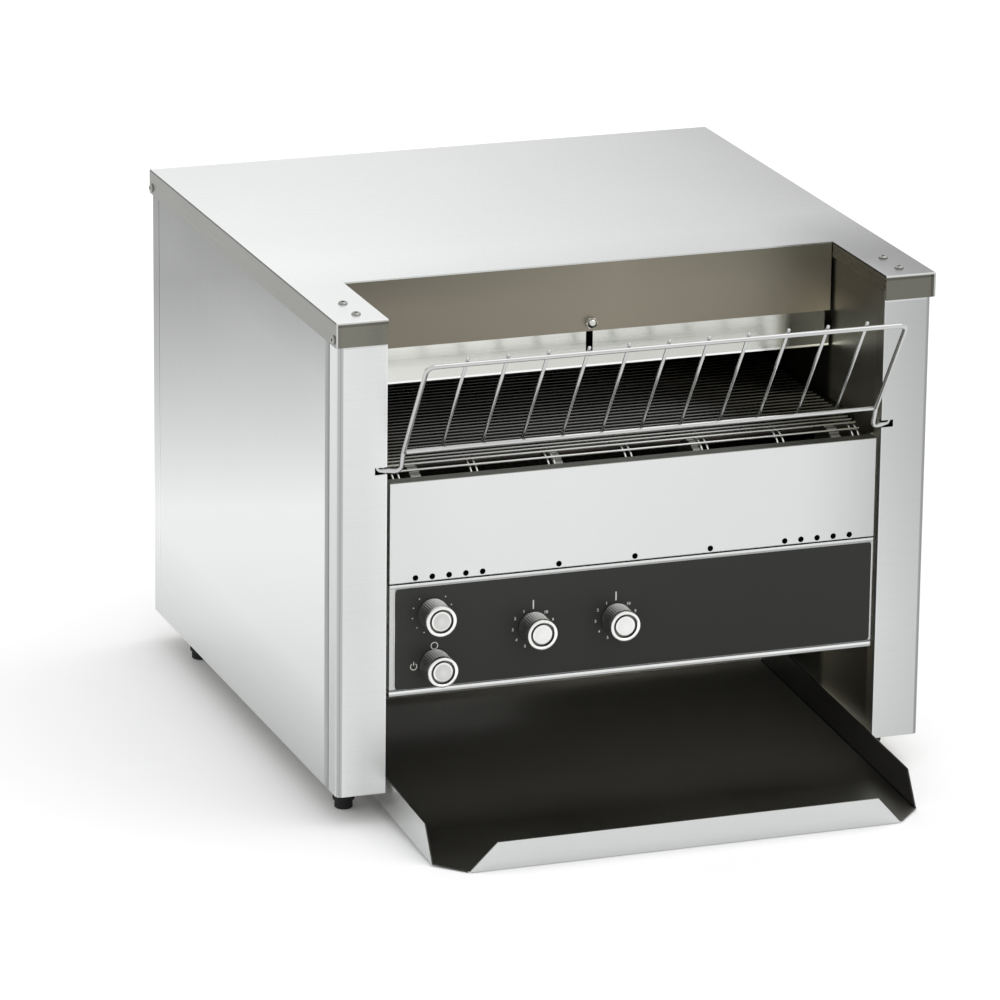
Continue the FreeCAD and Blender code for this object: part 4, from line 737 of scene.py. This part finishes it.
class ToasterInside(bpy.types.Operator):
    """Gives the throat, tunnel, ramp and base their steel, heat-tinted in the throat and tunnel,
    with painted light and shade in its colours
    """
    bl_idname = "toaster.inside"
    bl_label = "Inside finishes"

    def execute(self, context):
        wear(brushed("throat_steel", self.throat, "x", 0.34, 0.02, 0.05, 0.08),
             "throat_back_plate")
        wear(brushed("gate_steel", self.gate, "x", 0.14, 0.03, 0.04), "gate_plate")
        wear(brushed("wall_steel", self.wall, "y", 0.34, 0.02, 0.08, 0.08),
             "left_inner_wall", "right_inner_wall")
        wear(brushed("reflector_steel", "warmed_and_shaded", "x", 0.26, 0.10, 0.16),
             "upper_reflector", "lower_reflector", "rear_deflector", "belt_rails")
        wear(brushed("chute_steel", self.chute, "y", 0.56, 0.10, 0.10),
             "return_ramp", "control_box", "base_pan")
        return {"FINISHED"}

    def throat(self, finish):
        """Two heat tints in slow clouds, with painted shade toward both ends that is darkest at
        the upper corners, and painted light at the right end.
        """
        low, high = corners_of("throat_back_plate")
        drift = finish.noise((6.0, 6.0, 14.0))
        middle = 1 - abs(finish.x - THROAT_MIDDLE).between(*THROAT_HALF) * 0.10
        crown = finish.z.between(THROAT_CROWN, high.z) * (1 - middle)
        share = middle + finish.x.between(*THROAT_RIGHT) * 0.22 + drift * 0.12 - crown
        tinted = (finish.z.between(low.z, high.z) * 0.3 + drift * 0.9 + 0.1).clamped()
        return finish.faded(finish.mixed(tinted, "throat", "throat_tint"), share)

    def gate(self, finish):
        """Bright, with upright bands, painted darker to the right and low down, painted shade at
        the right end and a painted highlight on the lower edge.
        """
        low, high = corners_of("gate_plate")
        bands = finish.noise((14.0, 0.0, 0.5), 1.0)
        shade_end = (finish.x - high.x).between(*GATE_SHADE)
        share = (1.04 - finish.x.between(*GATE_LEFT) * 0.06 + bands * 0.12
                 - finish.x.between(*GATE_RIGHT) * 0.06
                 - finish.z.between(high.z - 0.01, low.z) * 0.03)
        share = share * (1 - shade_end * 0.45)
        return finish.mixed(finish.z.below(low.z + EDGE),
                            finish.faded("mirror", share), "bright")

    def wall(self, finish):
        """Painted light low down in the throat, so that the wall looks even in its shade, and
        painted shade low in the tunnel.
        """
        throat = finish.y.between(*WALL_THROAT)
        deep = 0.6 + finish.y.between(*WALL_DEEP) * 0.5
        low_light = finish.z.between(*WALL_LOW) * throat * deep
        drift = finish.noise((6.0, 6.0, 10.0), 3.0)
        low_part = finish.z.between(*WALL_TUNNEL) * 0.35
        return finish.faded("warmed_and_shaded", 1.0 + low_light + drift * 0.08 - low_part)

    def chute(self, finish):
        # Painted light: lighter to the right, where the right wall darkens what these parts
        # mirror
        return finish.faded("chute", 0.76 + finish.x.between(*CHUTE_LEFT) * 0.5)


class ToasterHeaters(bpy.types.Operator):
    """Gives the heater tubes and their insulators their finishes"""
    bl_idname = "toaster.heaters"
    bl_label = "Heater finishes"

    def execute(self, context):
        wear(turned_metal("heater_sheath", self.sheath, 0.48, 0.2, 0.8),
             "upper_heaters", "lower_heaters")
        wear(moulded("ceramic_white", "ceramic", 0.6, 0.14), "heater_insulators")
        return {"FINISHED"}

    def sheath(self, finish):
        scorch = finish.noise((22.0, STAINS, STAINS), 4.0)
        return finish.mixed(scorch.between(-0.15, 0.2), "sheath", shade(62, 58, 58))


class ToasterDrive(bpy.types.Operator):
    """Gives the shafts, wheels, chain, motor and fan their finishes"""
    bl_idname = "toaster.drive"
    bl_label = "Drive and fan finishes"

    def execute(self, context):
        wear(turned_metal("shaft_steel", shade(188, 190, 190), 0.22),
             "front_belt_shaft", "rear_belt_shaft", "motor_shaft")
        wear(turned_metal("wheel_steel", shade(120, 120, 116), 0.4),
             "front_belt_wheels", "rear_belt_wheels", "drive_sprocket", "motor_sprocket")
        wear(turned_metal("chain_steel", self.oiled, 0.3), "drive_chain")
        wear(turned_metal("bush_bronze", "bronze", 0.34), "shaft_bushes")
        wear(moulded("motor_grey", "motor", 0.42, 0.14, 0.5, 700.0), "gear_motor")
        wear(moulded("fan_black", "black", 0.45, 0.2), "fan_frame", "fan_rotor")
        return {"FINISHED"}

    def oiled(self, finish):
        oil = finish.noise(140.0, 3.0)
        return finish.mixed(oil.between(-0.1, 0.2), shade(118, 116, 112), shade(66, 60, 52))


class ToasterFittings(bpy.types.Operator):
    """Gives the screws, feet, gland, terminals and controls their finishes"""
    bl_idname = "toaster.fittings"
    bl_label = "Fitting finishes"

    def execute(self, context):
        wear(turned_metal("screw_steel", "screw", 0.3), "panel_screws", "foot_screws")
        wear(turned_metal("nut_steel", shade(206, 206, 202), 0.16), "gate_dome_nut")
        wear(turned_metal("spindle_steel", shade(180, 182, 182), 0.3),
             *(dial + "_spindle" for dial in DIALS))
        wear(moulded("foot_rubber", "rubber", 0.7, 0.25, 0.3), "rubber_feet")
        wear(moulded("control_black", "black", 0.5, 0.2),
             "power_switch", "speed_control", "heat_controls", "cord_gland", "terminal_block")
        wear(moulded("overlay_charcoal", self.film, 0.42, 0.10, 0.16, 1500.0),
             "control_overlay")
        return {"FINISHED"}

    def film(self, finish):
        low, high = corners_of("control_overlay")
        # Painted shade: the overlay is painted darker toward its right end
        return finish.faded("overlay", 1.04 - finish.x.between(low.x, high.x) * 0.1)


# Pieces finer than the CAD's

def clock(angle):
    """The way from a dial's middle, clockwise from the top by an angle in degrees."""
    turn = math.radians(angle)
    return Vector((math.sin(turn), 0, math.cos(turn)))


class ToasterKnobs(bpy.types.Operator):
    """Builds the four knobs: fluted bodies and turned caps"""
    bl_idname = "toaster.knobs"
    bl_label = "Knobs"

    def execute(self, context):
        body_finish = turned_metal("knob_grey", self.painted_light_side, 0.4, 0.14, 0.3)
        groove_finish = turned_metal("knob_groove", "groove", 0.4, 0.1)
        for dial in DIALS:
            self.body(dial, context.scene.toaster_sizes, body_finish)
            self.cap(dial, groove_finish)
        return {"FINISHED"}

    def painted_light_side(self, finish):
        """Painted light: the side toward the upper right is painted lighter, and the painting
        turns with the knob.
        """
        lit_side = (finish.nx * 0.55 + finish.nz * 0.8).between(0.1, 0.9) ** 1.3
        return finish.mixed(lit_side, "knob", "knob_lit")

    def cap_finish(self, dial):
        """Turned silver with a painted highlight toward the lower right, and painted shade on the
        disc, less in its middle, most of all on the two knobs at the left.
        """
        middle = middle_of(dial + "_knob")
        # Painted shade on the disc, stronger on the two knobs at the left
        disc_shade = 0.17 if dial in ("power", "speed") else 0.05

        def turned_face(finish):
            aside, above = finish.x - middle.x, finish.z - middle.z
            slant = (aside * 0.6 - above * 0.8).between(*CAP_SLANT)
            reach = (abs(aside) ** 2 + abs(above) ** 2) ** 0.5
            disc = reach.between(*CAP_DISC) - reach.between(*CAP_MIDDLE) * 0.3
            return finish.faded("cap", 0.95 + slant * 0.07 - disc * disc_shade)

        return turned_metal(dial + "_cap_silver", turned_face, 0.2, 0.06)

    def body(self, dial, sizes, finish):
        low, high = corners_of(dial + "_knob")
        radius = (high.x - low.x) / 2
        middle = (low + high) / 2
        deep = high.y - low.y
        edge = 0.5 * MM
        skirt = 2.2 * MM
        bore = radius * 0.27
        rows = [(deep * 0.8, bore), (0, bore), (0, radius - edge), (edge, radius),
                (skirt, radius), (skirt + edge, radius - edge / 2, "fluted"),
                (deep - 2 * edge, radius - edge / 2, "fluted"), (deep - edge, radius),
                (deep - edge / 3, radius - edge / 4), (deep, radius - edge)]
        rings = lathe_rings(rows, Vector((middle.x, high.y, middle.z)), sizes.flutes * 6,
                            (sizes.flutes, sizes.flute_depth))
        name = dial + "_fluted_knob"
        thing = piece(name, solid_from(name, [rings]), finish, dial + "_dial",
                      40.0)
        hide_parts(dial + "_knob")

    def cap(self, dial, groove_finish):
        low, high = corners_of(dial + "_knob_cap")
        radius = (high.x - low.x) / 2
        face = corners_of(dial + "_knob")[0].y
        base = Vector(((low.x + high.x) / 2, face, (low.z + high.z) / 2))
        tall = face - low.y
        rim, groove, depth, soft = 2.7 * MM, 1.6 * MM, 2.4 * MM, 0.3 * MM
        ring = radius - rim
        disc = ring - groove
        floor = tall - depth
        rows = [(0, radius - soft), (soft, radius), (tall - 3 * soft, radius),
                (tall - soft, radius - soft), (tall, radius - 3 * soft), (tall, ring + 2 * soft),
                (tall - soft, ring + soft / 2), (tall - 2 * soft, ring), (floor, ring),
                (floor, disc), (tall - 3 * soft, disc), (tall - 2 * soft, disc - soft),
                (tall - 1.5 * soft, disc - 3 * soft), (tall - soft, disc / 2),
                (tall - soft, disc / 8)]
        name = dial + "_turned_cap"
        mesh = solid_from(name, [lathe_rings(rows, base)])
        thing = piece(name, mesh, self.cap_finish(dial), dial + "_dial", 32.0)
        # Painted shade: faces in the cap's groove take the dark groove colour
        mesh.materials.append(groove_finish)
        for face_of in mesh.polygons:
            across = Vector((face_of.center.x - base.x, face_of.center.z - base.z)).length
            sunk = face_of.center.y > base.y - tall + 3.5 * soft
            if disc - soft < across < ring + soft / 2 and sunk:
                face_of.material_index = 1
        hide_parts(dial + "_knob_cap")


class ToasterRack(bpy.types.Operator):
    """Builds the wire feed rack from bent and straight wires"""
    bl_idname = "toaster.rack"
    bl_label = "Feed rack"

    def execute(self, context):
        sizes = context.scene.toaster_sizes
        low, high = corners_of("feed_rack")
        wire = sizes.rack_wire
        pillar = corners_of("left_front_pillar")[0].y
        pin_x = high.x - wire
        half = pin_x - sizes.rack_side_in
        tail = Vector((pin_x, high.y - wire, low.z + wire))
        leg = Vector((half, pillar - sizes.rack_leg_out, tail.z))
        low_wire = Vector((half, pillar - sizes.rack_low_out, tail.z + sizes.rack_low_rise))
        top_wire = Vector((half, pillar - sizes.rack_top_out, low_wire.z + sizes.rack_top_rise))
        right = [tail + Vector((0, 0, sizes.rack_tail)), tail, leg, low_wire, top_wire]
        left = [Vector((-point.x, point.y, point.z)) for point in right]
        bends = [sizes.rack_tail_bend] + [sizes.rack_bend] * 3
        path = rounded_path(left + right[::-1], bends + bends[::-1])
        rise = (top_wire - low_wire).normalized()
        behind = rise.cross(Vector((1, 0, 0))) * (wire + sizes.cross_wire)
        middle = Vector((0, low_wire.y, low_wire.z))
        crown = Vector((0, top_wire.y, top_wire.z))
        inner = Vector((half - wire, 0, 0))
        span = half - sizes.rack_end_in
        step = 2 * span / (sizes.cross_wires - 1)

        def build(work):
            joined_rings(work, wire_rings(path, wire, 24))
            joined_rings(work, wire_rings([middle - inner, middle, middle + inner], wire, 24))
            thick = len(work.faces)
            for index in range(sizes.cross_wires):
                aside = Vector((index * step - span, 0, 0))
                foot = middle + behind + aside - rise * wire
                head = crown + behind + aside + rise * sizes.cross_stub
                joined_rings(work, wire_rings([foot, (foot + head) / 2, head],
                                              sizes.cross_wire, 20))
            for number, face in enumerate(work.faces):
                face.material_index = int(number >= thick)

        mesh = mesh_from("rack_wires", build)
        thing = piece("rack_wires", mesh, turned_metal("wire_chrome", "wire", 0.16, 0.08),
                      "rack", 50.0)
        mesh.materials.append(turned_metal("cross_wire_chrome", "cross", 0.2, 0.08))
        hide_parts("feed_rack")
        return {"FINISHED"}


class ToasterBelt(bpy.types.Operator):
    """Builds the conveyor belt from cross wires and hooked links"""
    bl_idname = "toaster.belt"
    bl_label = "Conveyor belt"

    def execute(self, context):
        sizes = context.scene.toaster_sizes
        low, high = corners_of("conveyor_belt")
        middle = (low + high) / 2
        wire = sizes.belt_wire
        radius = (high.z - low.z) / 2 - 1.0 * MM
        run = (high.y - low.y) - (high.z - low.z)
        turn = math.pi * radius
        around = 2 * (run + turn)
        count = round(around / sizes.belt_pitch)
        step = around / count
        thin = wire * 0.8
        under = radius - wire - thin

        def place(distance, reach):
            """A point of the loop at a reach from its middle, from the start of its top."""
            lap, along = divmod(distance % around, run + turn)
            side = 1 - 2 * lap
            spin = max(along - run, 0) / radius
            forward = min(along, run) + reach * math.sin(spin)
            return Vector((0, middle.y + side * (forward - run / 2),
                           middle.z + side * reach * math.cos(spin)))

        def hook(distance, across):
            """One side of a link: it leaves a wire, runs on and curls under the next one."""
            stops = (-thin, step * 0.5, step - thin, step + wire)
            return [place(distance + stop, under) + across for stop in stops]

        edge = Vector((high.x, 0, 0))
        first = high.x - sizes.link_edge
        columns = [first * (2 * index / (sizes.links - 1) - 1) for index in range(sizes.links)]
        forms = []
        for index in range(count):
            distance = step * (index + 0.5)
            here = place(distance, radius)
            forms.append(wire_rings([here - edge, here, here + edge], wire, 8))
            for column in columns:
                for side in (-sizes.link_half, sizes.link_half):
                    path = hook(distance, Vector((column + side, 0, 0)))
                    forms.append(wire_rings(path, thin, 6))

        def turned_wire(finish):
            # Painted shade: wires inside the tunnel are painted darker than those at the lit
            # front turn
            front = middle.y - run / 2
            inside = finish.y.between(front - radius * 0.5, front + radius)
            return finish.mixed(inside, "belt", "belt_shaded")

        thing = piece("belt_wires", solid_from("belt_wires", forms),
                      turned_metal("belt_wire", turned_wire, 0.3, 0.2), "case",
                      60.0)
        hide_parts("conveyor_belt")
        return {"FINISHED"}


class ToasterMarks(bpy.types.Operator):
    """Prints the dial marks on the overlay: ticks, numerals and switch signs"""
    bl_idname = "toaster.marks"
    bl_label = "Dial marks"

    def execute(self, context):
        sizes = context.scene.toaster_sizes
        finish = moulded("mark_print", "marks", 0.5, 0.1, 0.2)
        face = corners_of("control_overlay")[0].y
        stroke, ring, switch, lever = 0.7 * MM, 2.3 * MM, 2.2 * MM, 3.0 * MM
        ring_place = Vector((0.2, 0, 14.4)) * MM
        switch_place = Vector((-16.2, 0, -0.6)) * MM
        tick_reach, tick_wide, tick_tall = 16.0 * MM, 0.8 * MM, 0.9 * MM
        zero_reach, zero_wide, zero_tall = 17.5 * MM, 1.0 * MM, 7.0 * MM
        numeral_reach, end_reach = 16.4 * MM, 14.6 * MM
        first_turn, numeral_turn, numeral_count = -31.0, -31.6, 10
        flat = []
        numerals = []

        def bar(centre, angle, wide, tall):
            """A thin bar turned clockwise by an angle."""
            across, up = clock(angle + 90) * wide / 2, clock(angle) * tall / 2
            flat.append([centre - across - up, centre + across - up,
                         centre + across + up, centre - across + up])

        def arc(centre, radius, start, end, steps=24):
            """A curved stroke in short pieces, clockwise from the top."""
            ways = [clock(start + (end - start) * index / steps) for index in range(steps + 1)]
            for one, two in zip(ways, ways[1:]):
                flat.append([centre + way * reach for way, reach in (
                    (one, radius), (two, radius), (two, radius + stroke),
                    (one, radius + stroke))])

        power, speed, *heats = (middle_of(dial + "_knob") for dial in DIALS)
        arc(power + ring_place, ring, 0, 360)
        arc(power + switch_place, switch, 35, 325)
        bar(power + switch_place + clock(0) * ring, 0, stroke, lever)
        for angle in (-156, -130, -99, -70, -40, 40, 70):
            bar(speed + clock(angle) * tick_reach, angle, tick_wide, tick_tall)
        for centre in heats:
            bar(centre + clock(0) * zero_reach, 0, zero_wide, zero_tall)
            for index in range(numeral_count):
                way = clock(first_turn + index * numeral_turn)
                reach = end_reach if index in (0, numeral_count - 1) else numeral_reach
                numerals.append((str(index + 1), centre + way * reach))

        forms = [[[Vector((spot.x, y, spot.z)) for spot in outline]
                  for y in (face, face - sizes.mark_lift)] for outline in flat]
        piece("dial_marks", solid_from("dial_marks", forms), finish, "case")
        self.print_numerals(numerals, face, finish, sizes)
        self.rim(sizes)
        return {"FINISHED"}

    def rim(self, sizes):
        """A thin raised bead round the overlay."""
        low, high = corners_of("control_overlay")
        bead = sizes.rim_bead
        corner = sizes.rim_corner
        inset = corner - bead
        left, right = low.x + inset, high.x - inset
        base, crown = low.z + inset, high.z - inset
        path = []
        for x, z, turn in ((right, crown, 90), (left, crown, 0), (left, base, -90),
                           (right, base, -180)):
            for step in range(7):
                path.append(Vector((x, high.y, z)) + clock(turn - step * 15) * corner)
        rings = []
        for before, here, after in zip(path[-1:] + path[:-1], path, path[1:] + path[:1]):
            across = (after - before).normalized().cross(Vector((0, 1, 0)))
            spins = (2 * math.pi * side / RIM_SIDES for side in range(RIM_SIDES))
            rings.append([here + (across * math.cos(spin) + Vector((0, math.sin(spin), 0))) * bead
                          for spin in spins])

        def rolled(finish):
            # Painted light and shade: the bead painted lighter along its sides and darkest along
            # its lower run
            beside = finish.z.within(low.z + bead, high.z - bead, 0.2 * MM)
            share = 0.66 - finish.z.below(low.z + corner) * 0.12
            return finish.faded("bright", share * (1 - beside) + beside * 0.86)

        piece("overlay_rim", solid_from("overlay_rim", [rings], looped=True),
              turned_metal("rim_steel", rolled, 0.25, 0.05), "case")

    def print_numerals(self, numerals, face, finish, sizes):
        """Flat numerals from the built-in font, as one mesh."""
        work = bmesh.new()
        for text, centre in numerals:
            letters = bpy.data.curves.new("numeral", "FONT")
            letters.body = text
            letters.size = sizes.mark_height
            letters.align_x = "CENTER"
            letters.align_y = "CENTER"
            letters.extrude = sizes.mark_lift / 2
            letters.offset = sizes.mark_weight
            writer = bpy.data.objects.new("numeral", letters)
            flat = bpy.data.meshes.new_from_object(writer)
            flat.transform(Matrix.Translation((centre.x, face - sizes.mark_lift / 2, centre.z))
                           @ Matrix.Rotation(math.radians(90), 4, "X"))
            work.from_mesh(flat)
            bpy.data.objects.remove(writer)
            bpy.data.meshes.remove(flat)
            bpy.data.curves.remove(letters)
        mesh = bpy.data.meshes.new("dial_numerals")
        work.to_mesh(mesh)
        work.free()
        piece("dial_numerals", mesh, finish, "case")


# Floor, light and camera

class ToasterStageBuild(bpy.types.Operator):
    """Builds the floor, the light from all round, the key light and the camera"""
    bl_idname = "toaster.stage"
    bl_label = "Stage"

    def execute(self, context):
        scene = context.scene
        stage = scene.toaster_stage
        self.floor(stage)
        self.world(scene, stage)
        self.sun(stage)
        self.camera(scene, stage)
        scene.view_settings.view_transform = "Standard"
        return {"FINISHED"}

    def floor(self, stage):
        reach = stage.floor_reach

        def build(work):
            spots = [(-reach, -reach), (reach, -reach), (reach, reach), (-reach, reach)]
            work.faces.new([work.verts.new((x, y, 0)) for x, y in spots])

        mesh = mesh_from("floor", build)
        finish = Finish("floor_white")
        grain = finish.noise(400.0)
        seen = seen_or_mirrored(finish)
        light = 1.0 + grain * 0.004 + seen * stage.floor_seen
        flat = finish.node("ShaderNodeBsdfDiffuse", sockets={
            "Color": finish.lit(stage.floor, light)})
        finish.feed(finish.output.inputs[0], flat.outputs[0])
        mesh.materials.append(finish.material)
        placed("floor", mesh)

    def world(self, scene, stage):
        """White where it is seen or mirrored, and a plain level of light elsewhere."""
        world = bpy.data.worlds.new("surround")
        scene.world = world
        surround = Surround(world)
        level = stage.sky + seen_or_mirrored(surround) * (1.0 - stage.sky)
        back = surround.node("ShaderNodeBackground", sockets={
            "Color": (1, 1, 1), "Strength": level})
        surround.feed(surround.output.inputs[0], back.outputs[0])

    def sun(self, stage):
        light = bpy.data.lights.new("key", "SUN")
        light.energy = stage.sun
        light.angle = stage.sun_angle
        thing = placed("key", light)
        thing.rotation_euler = Vector(stage.sun_way).to_track_quat("Z", "Y").to_euler()

    def camera(self, scene, stage):
        turn, rise, roll = stage.azimuth, stage.elevation, stage.roll
        back = Vector((math.sin(turn) * math.cos(rise), -math.cos(turn) * math.cos(rise),
                       math.sin(rise)))
        right = Vector((math.cos(turn), math.sin(turn), 0))
        up = back.cross(right)
        across = right * math.cos(roll) + up * math.sin(roll)
        upward = up * math.cos(roll) - right * math.sin(roll)
        place = (Vector(stage.target) + back * stage.distance + across * stage.aside[0]
                 + upward * stage.aside[1])
        lens = bpy.data.cameras.new("view")
        lens.sensor_width = 36.0
        lens.lens = stage.lens
        lens.clip_start = 0.1
        lens.clip_end = 100.0
        thing = placed("view", lens)
        thing.matrix_world = Matrix.Translation(place) @ Matrix(
            (across, upward, back)).transposed().to_4x4()
        scene.camera = thing


PIECES = (ToasterCase, ToasterInside, ToasterHeaters, ToasterDrive, ToasterFittings,
          ToasterKnobs, ToasterRack, ToasterBelt, ToasterMarks, ToasterStageBuild)


class ToasterPanel(bpy.types.Panel):
    """Lists what builds the toaster's looks"""
    bl_idname = "VIEW3D_PT_toaster"
    bl_label = "Conveyor toaster"
    bl_space_type = "VIEW_3D"
    bl_region_type = "UI"
    bl_category = "Toaster"

    def draw(self, context):
        for operator in PIECES:
            self.layout.operator(operator.bl_idname)
        for group in ("toaster_colours", "toaster_sizes", "toaster_stage"):
            settings = getattr(context.scene, group)
            column = self.layout.column()
            for name in settings.bl_rna.properties.keys():
                if name not in ("rna_type", "name"):
                    column.prop(settings, name)


GROUPS = {"toaster_colours": ToasterColours, "toaster_sizes": ToasterSizes,
          "toaster_stage": ToasterStage}


def register():
    for kind in (*GROUPS.values(), *PIECES, ToasterPanel):
        bpy.utils.register_class(kind)
    for name, kind in GROUPS.items():
        setattr(bpy.types.Scene, name, PointerProperty(type=kind))


def unregister():
    for name in GROUPS:
        delattr(bpy.types.Scene, name)
    for kind in (ToasterPanel, *reversed(PIECES), *reversed(GROUPS.values())):
        bpy.utils.unregister_class(kind)


def main():
    register()
    bpy.ops.toaster.case()
    bpy.ops.toaster.inside()
    bpy.ops.toaster.heaters()
    bpy.ops.toaster.drive()
    bpy.ops.toaster.fittings()
    bpy.ops.toaster.knobs()
    bpy.ops.toaster.rack()
    bpy.ops.toaster.belt()
    bpy.ops.toaster.marks()
    bpy.ops.toaster.stage()


if __name__ == "__main__":
    main()
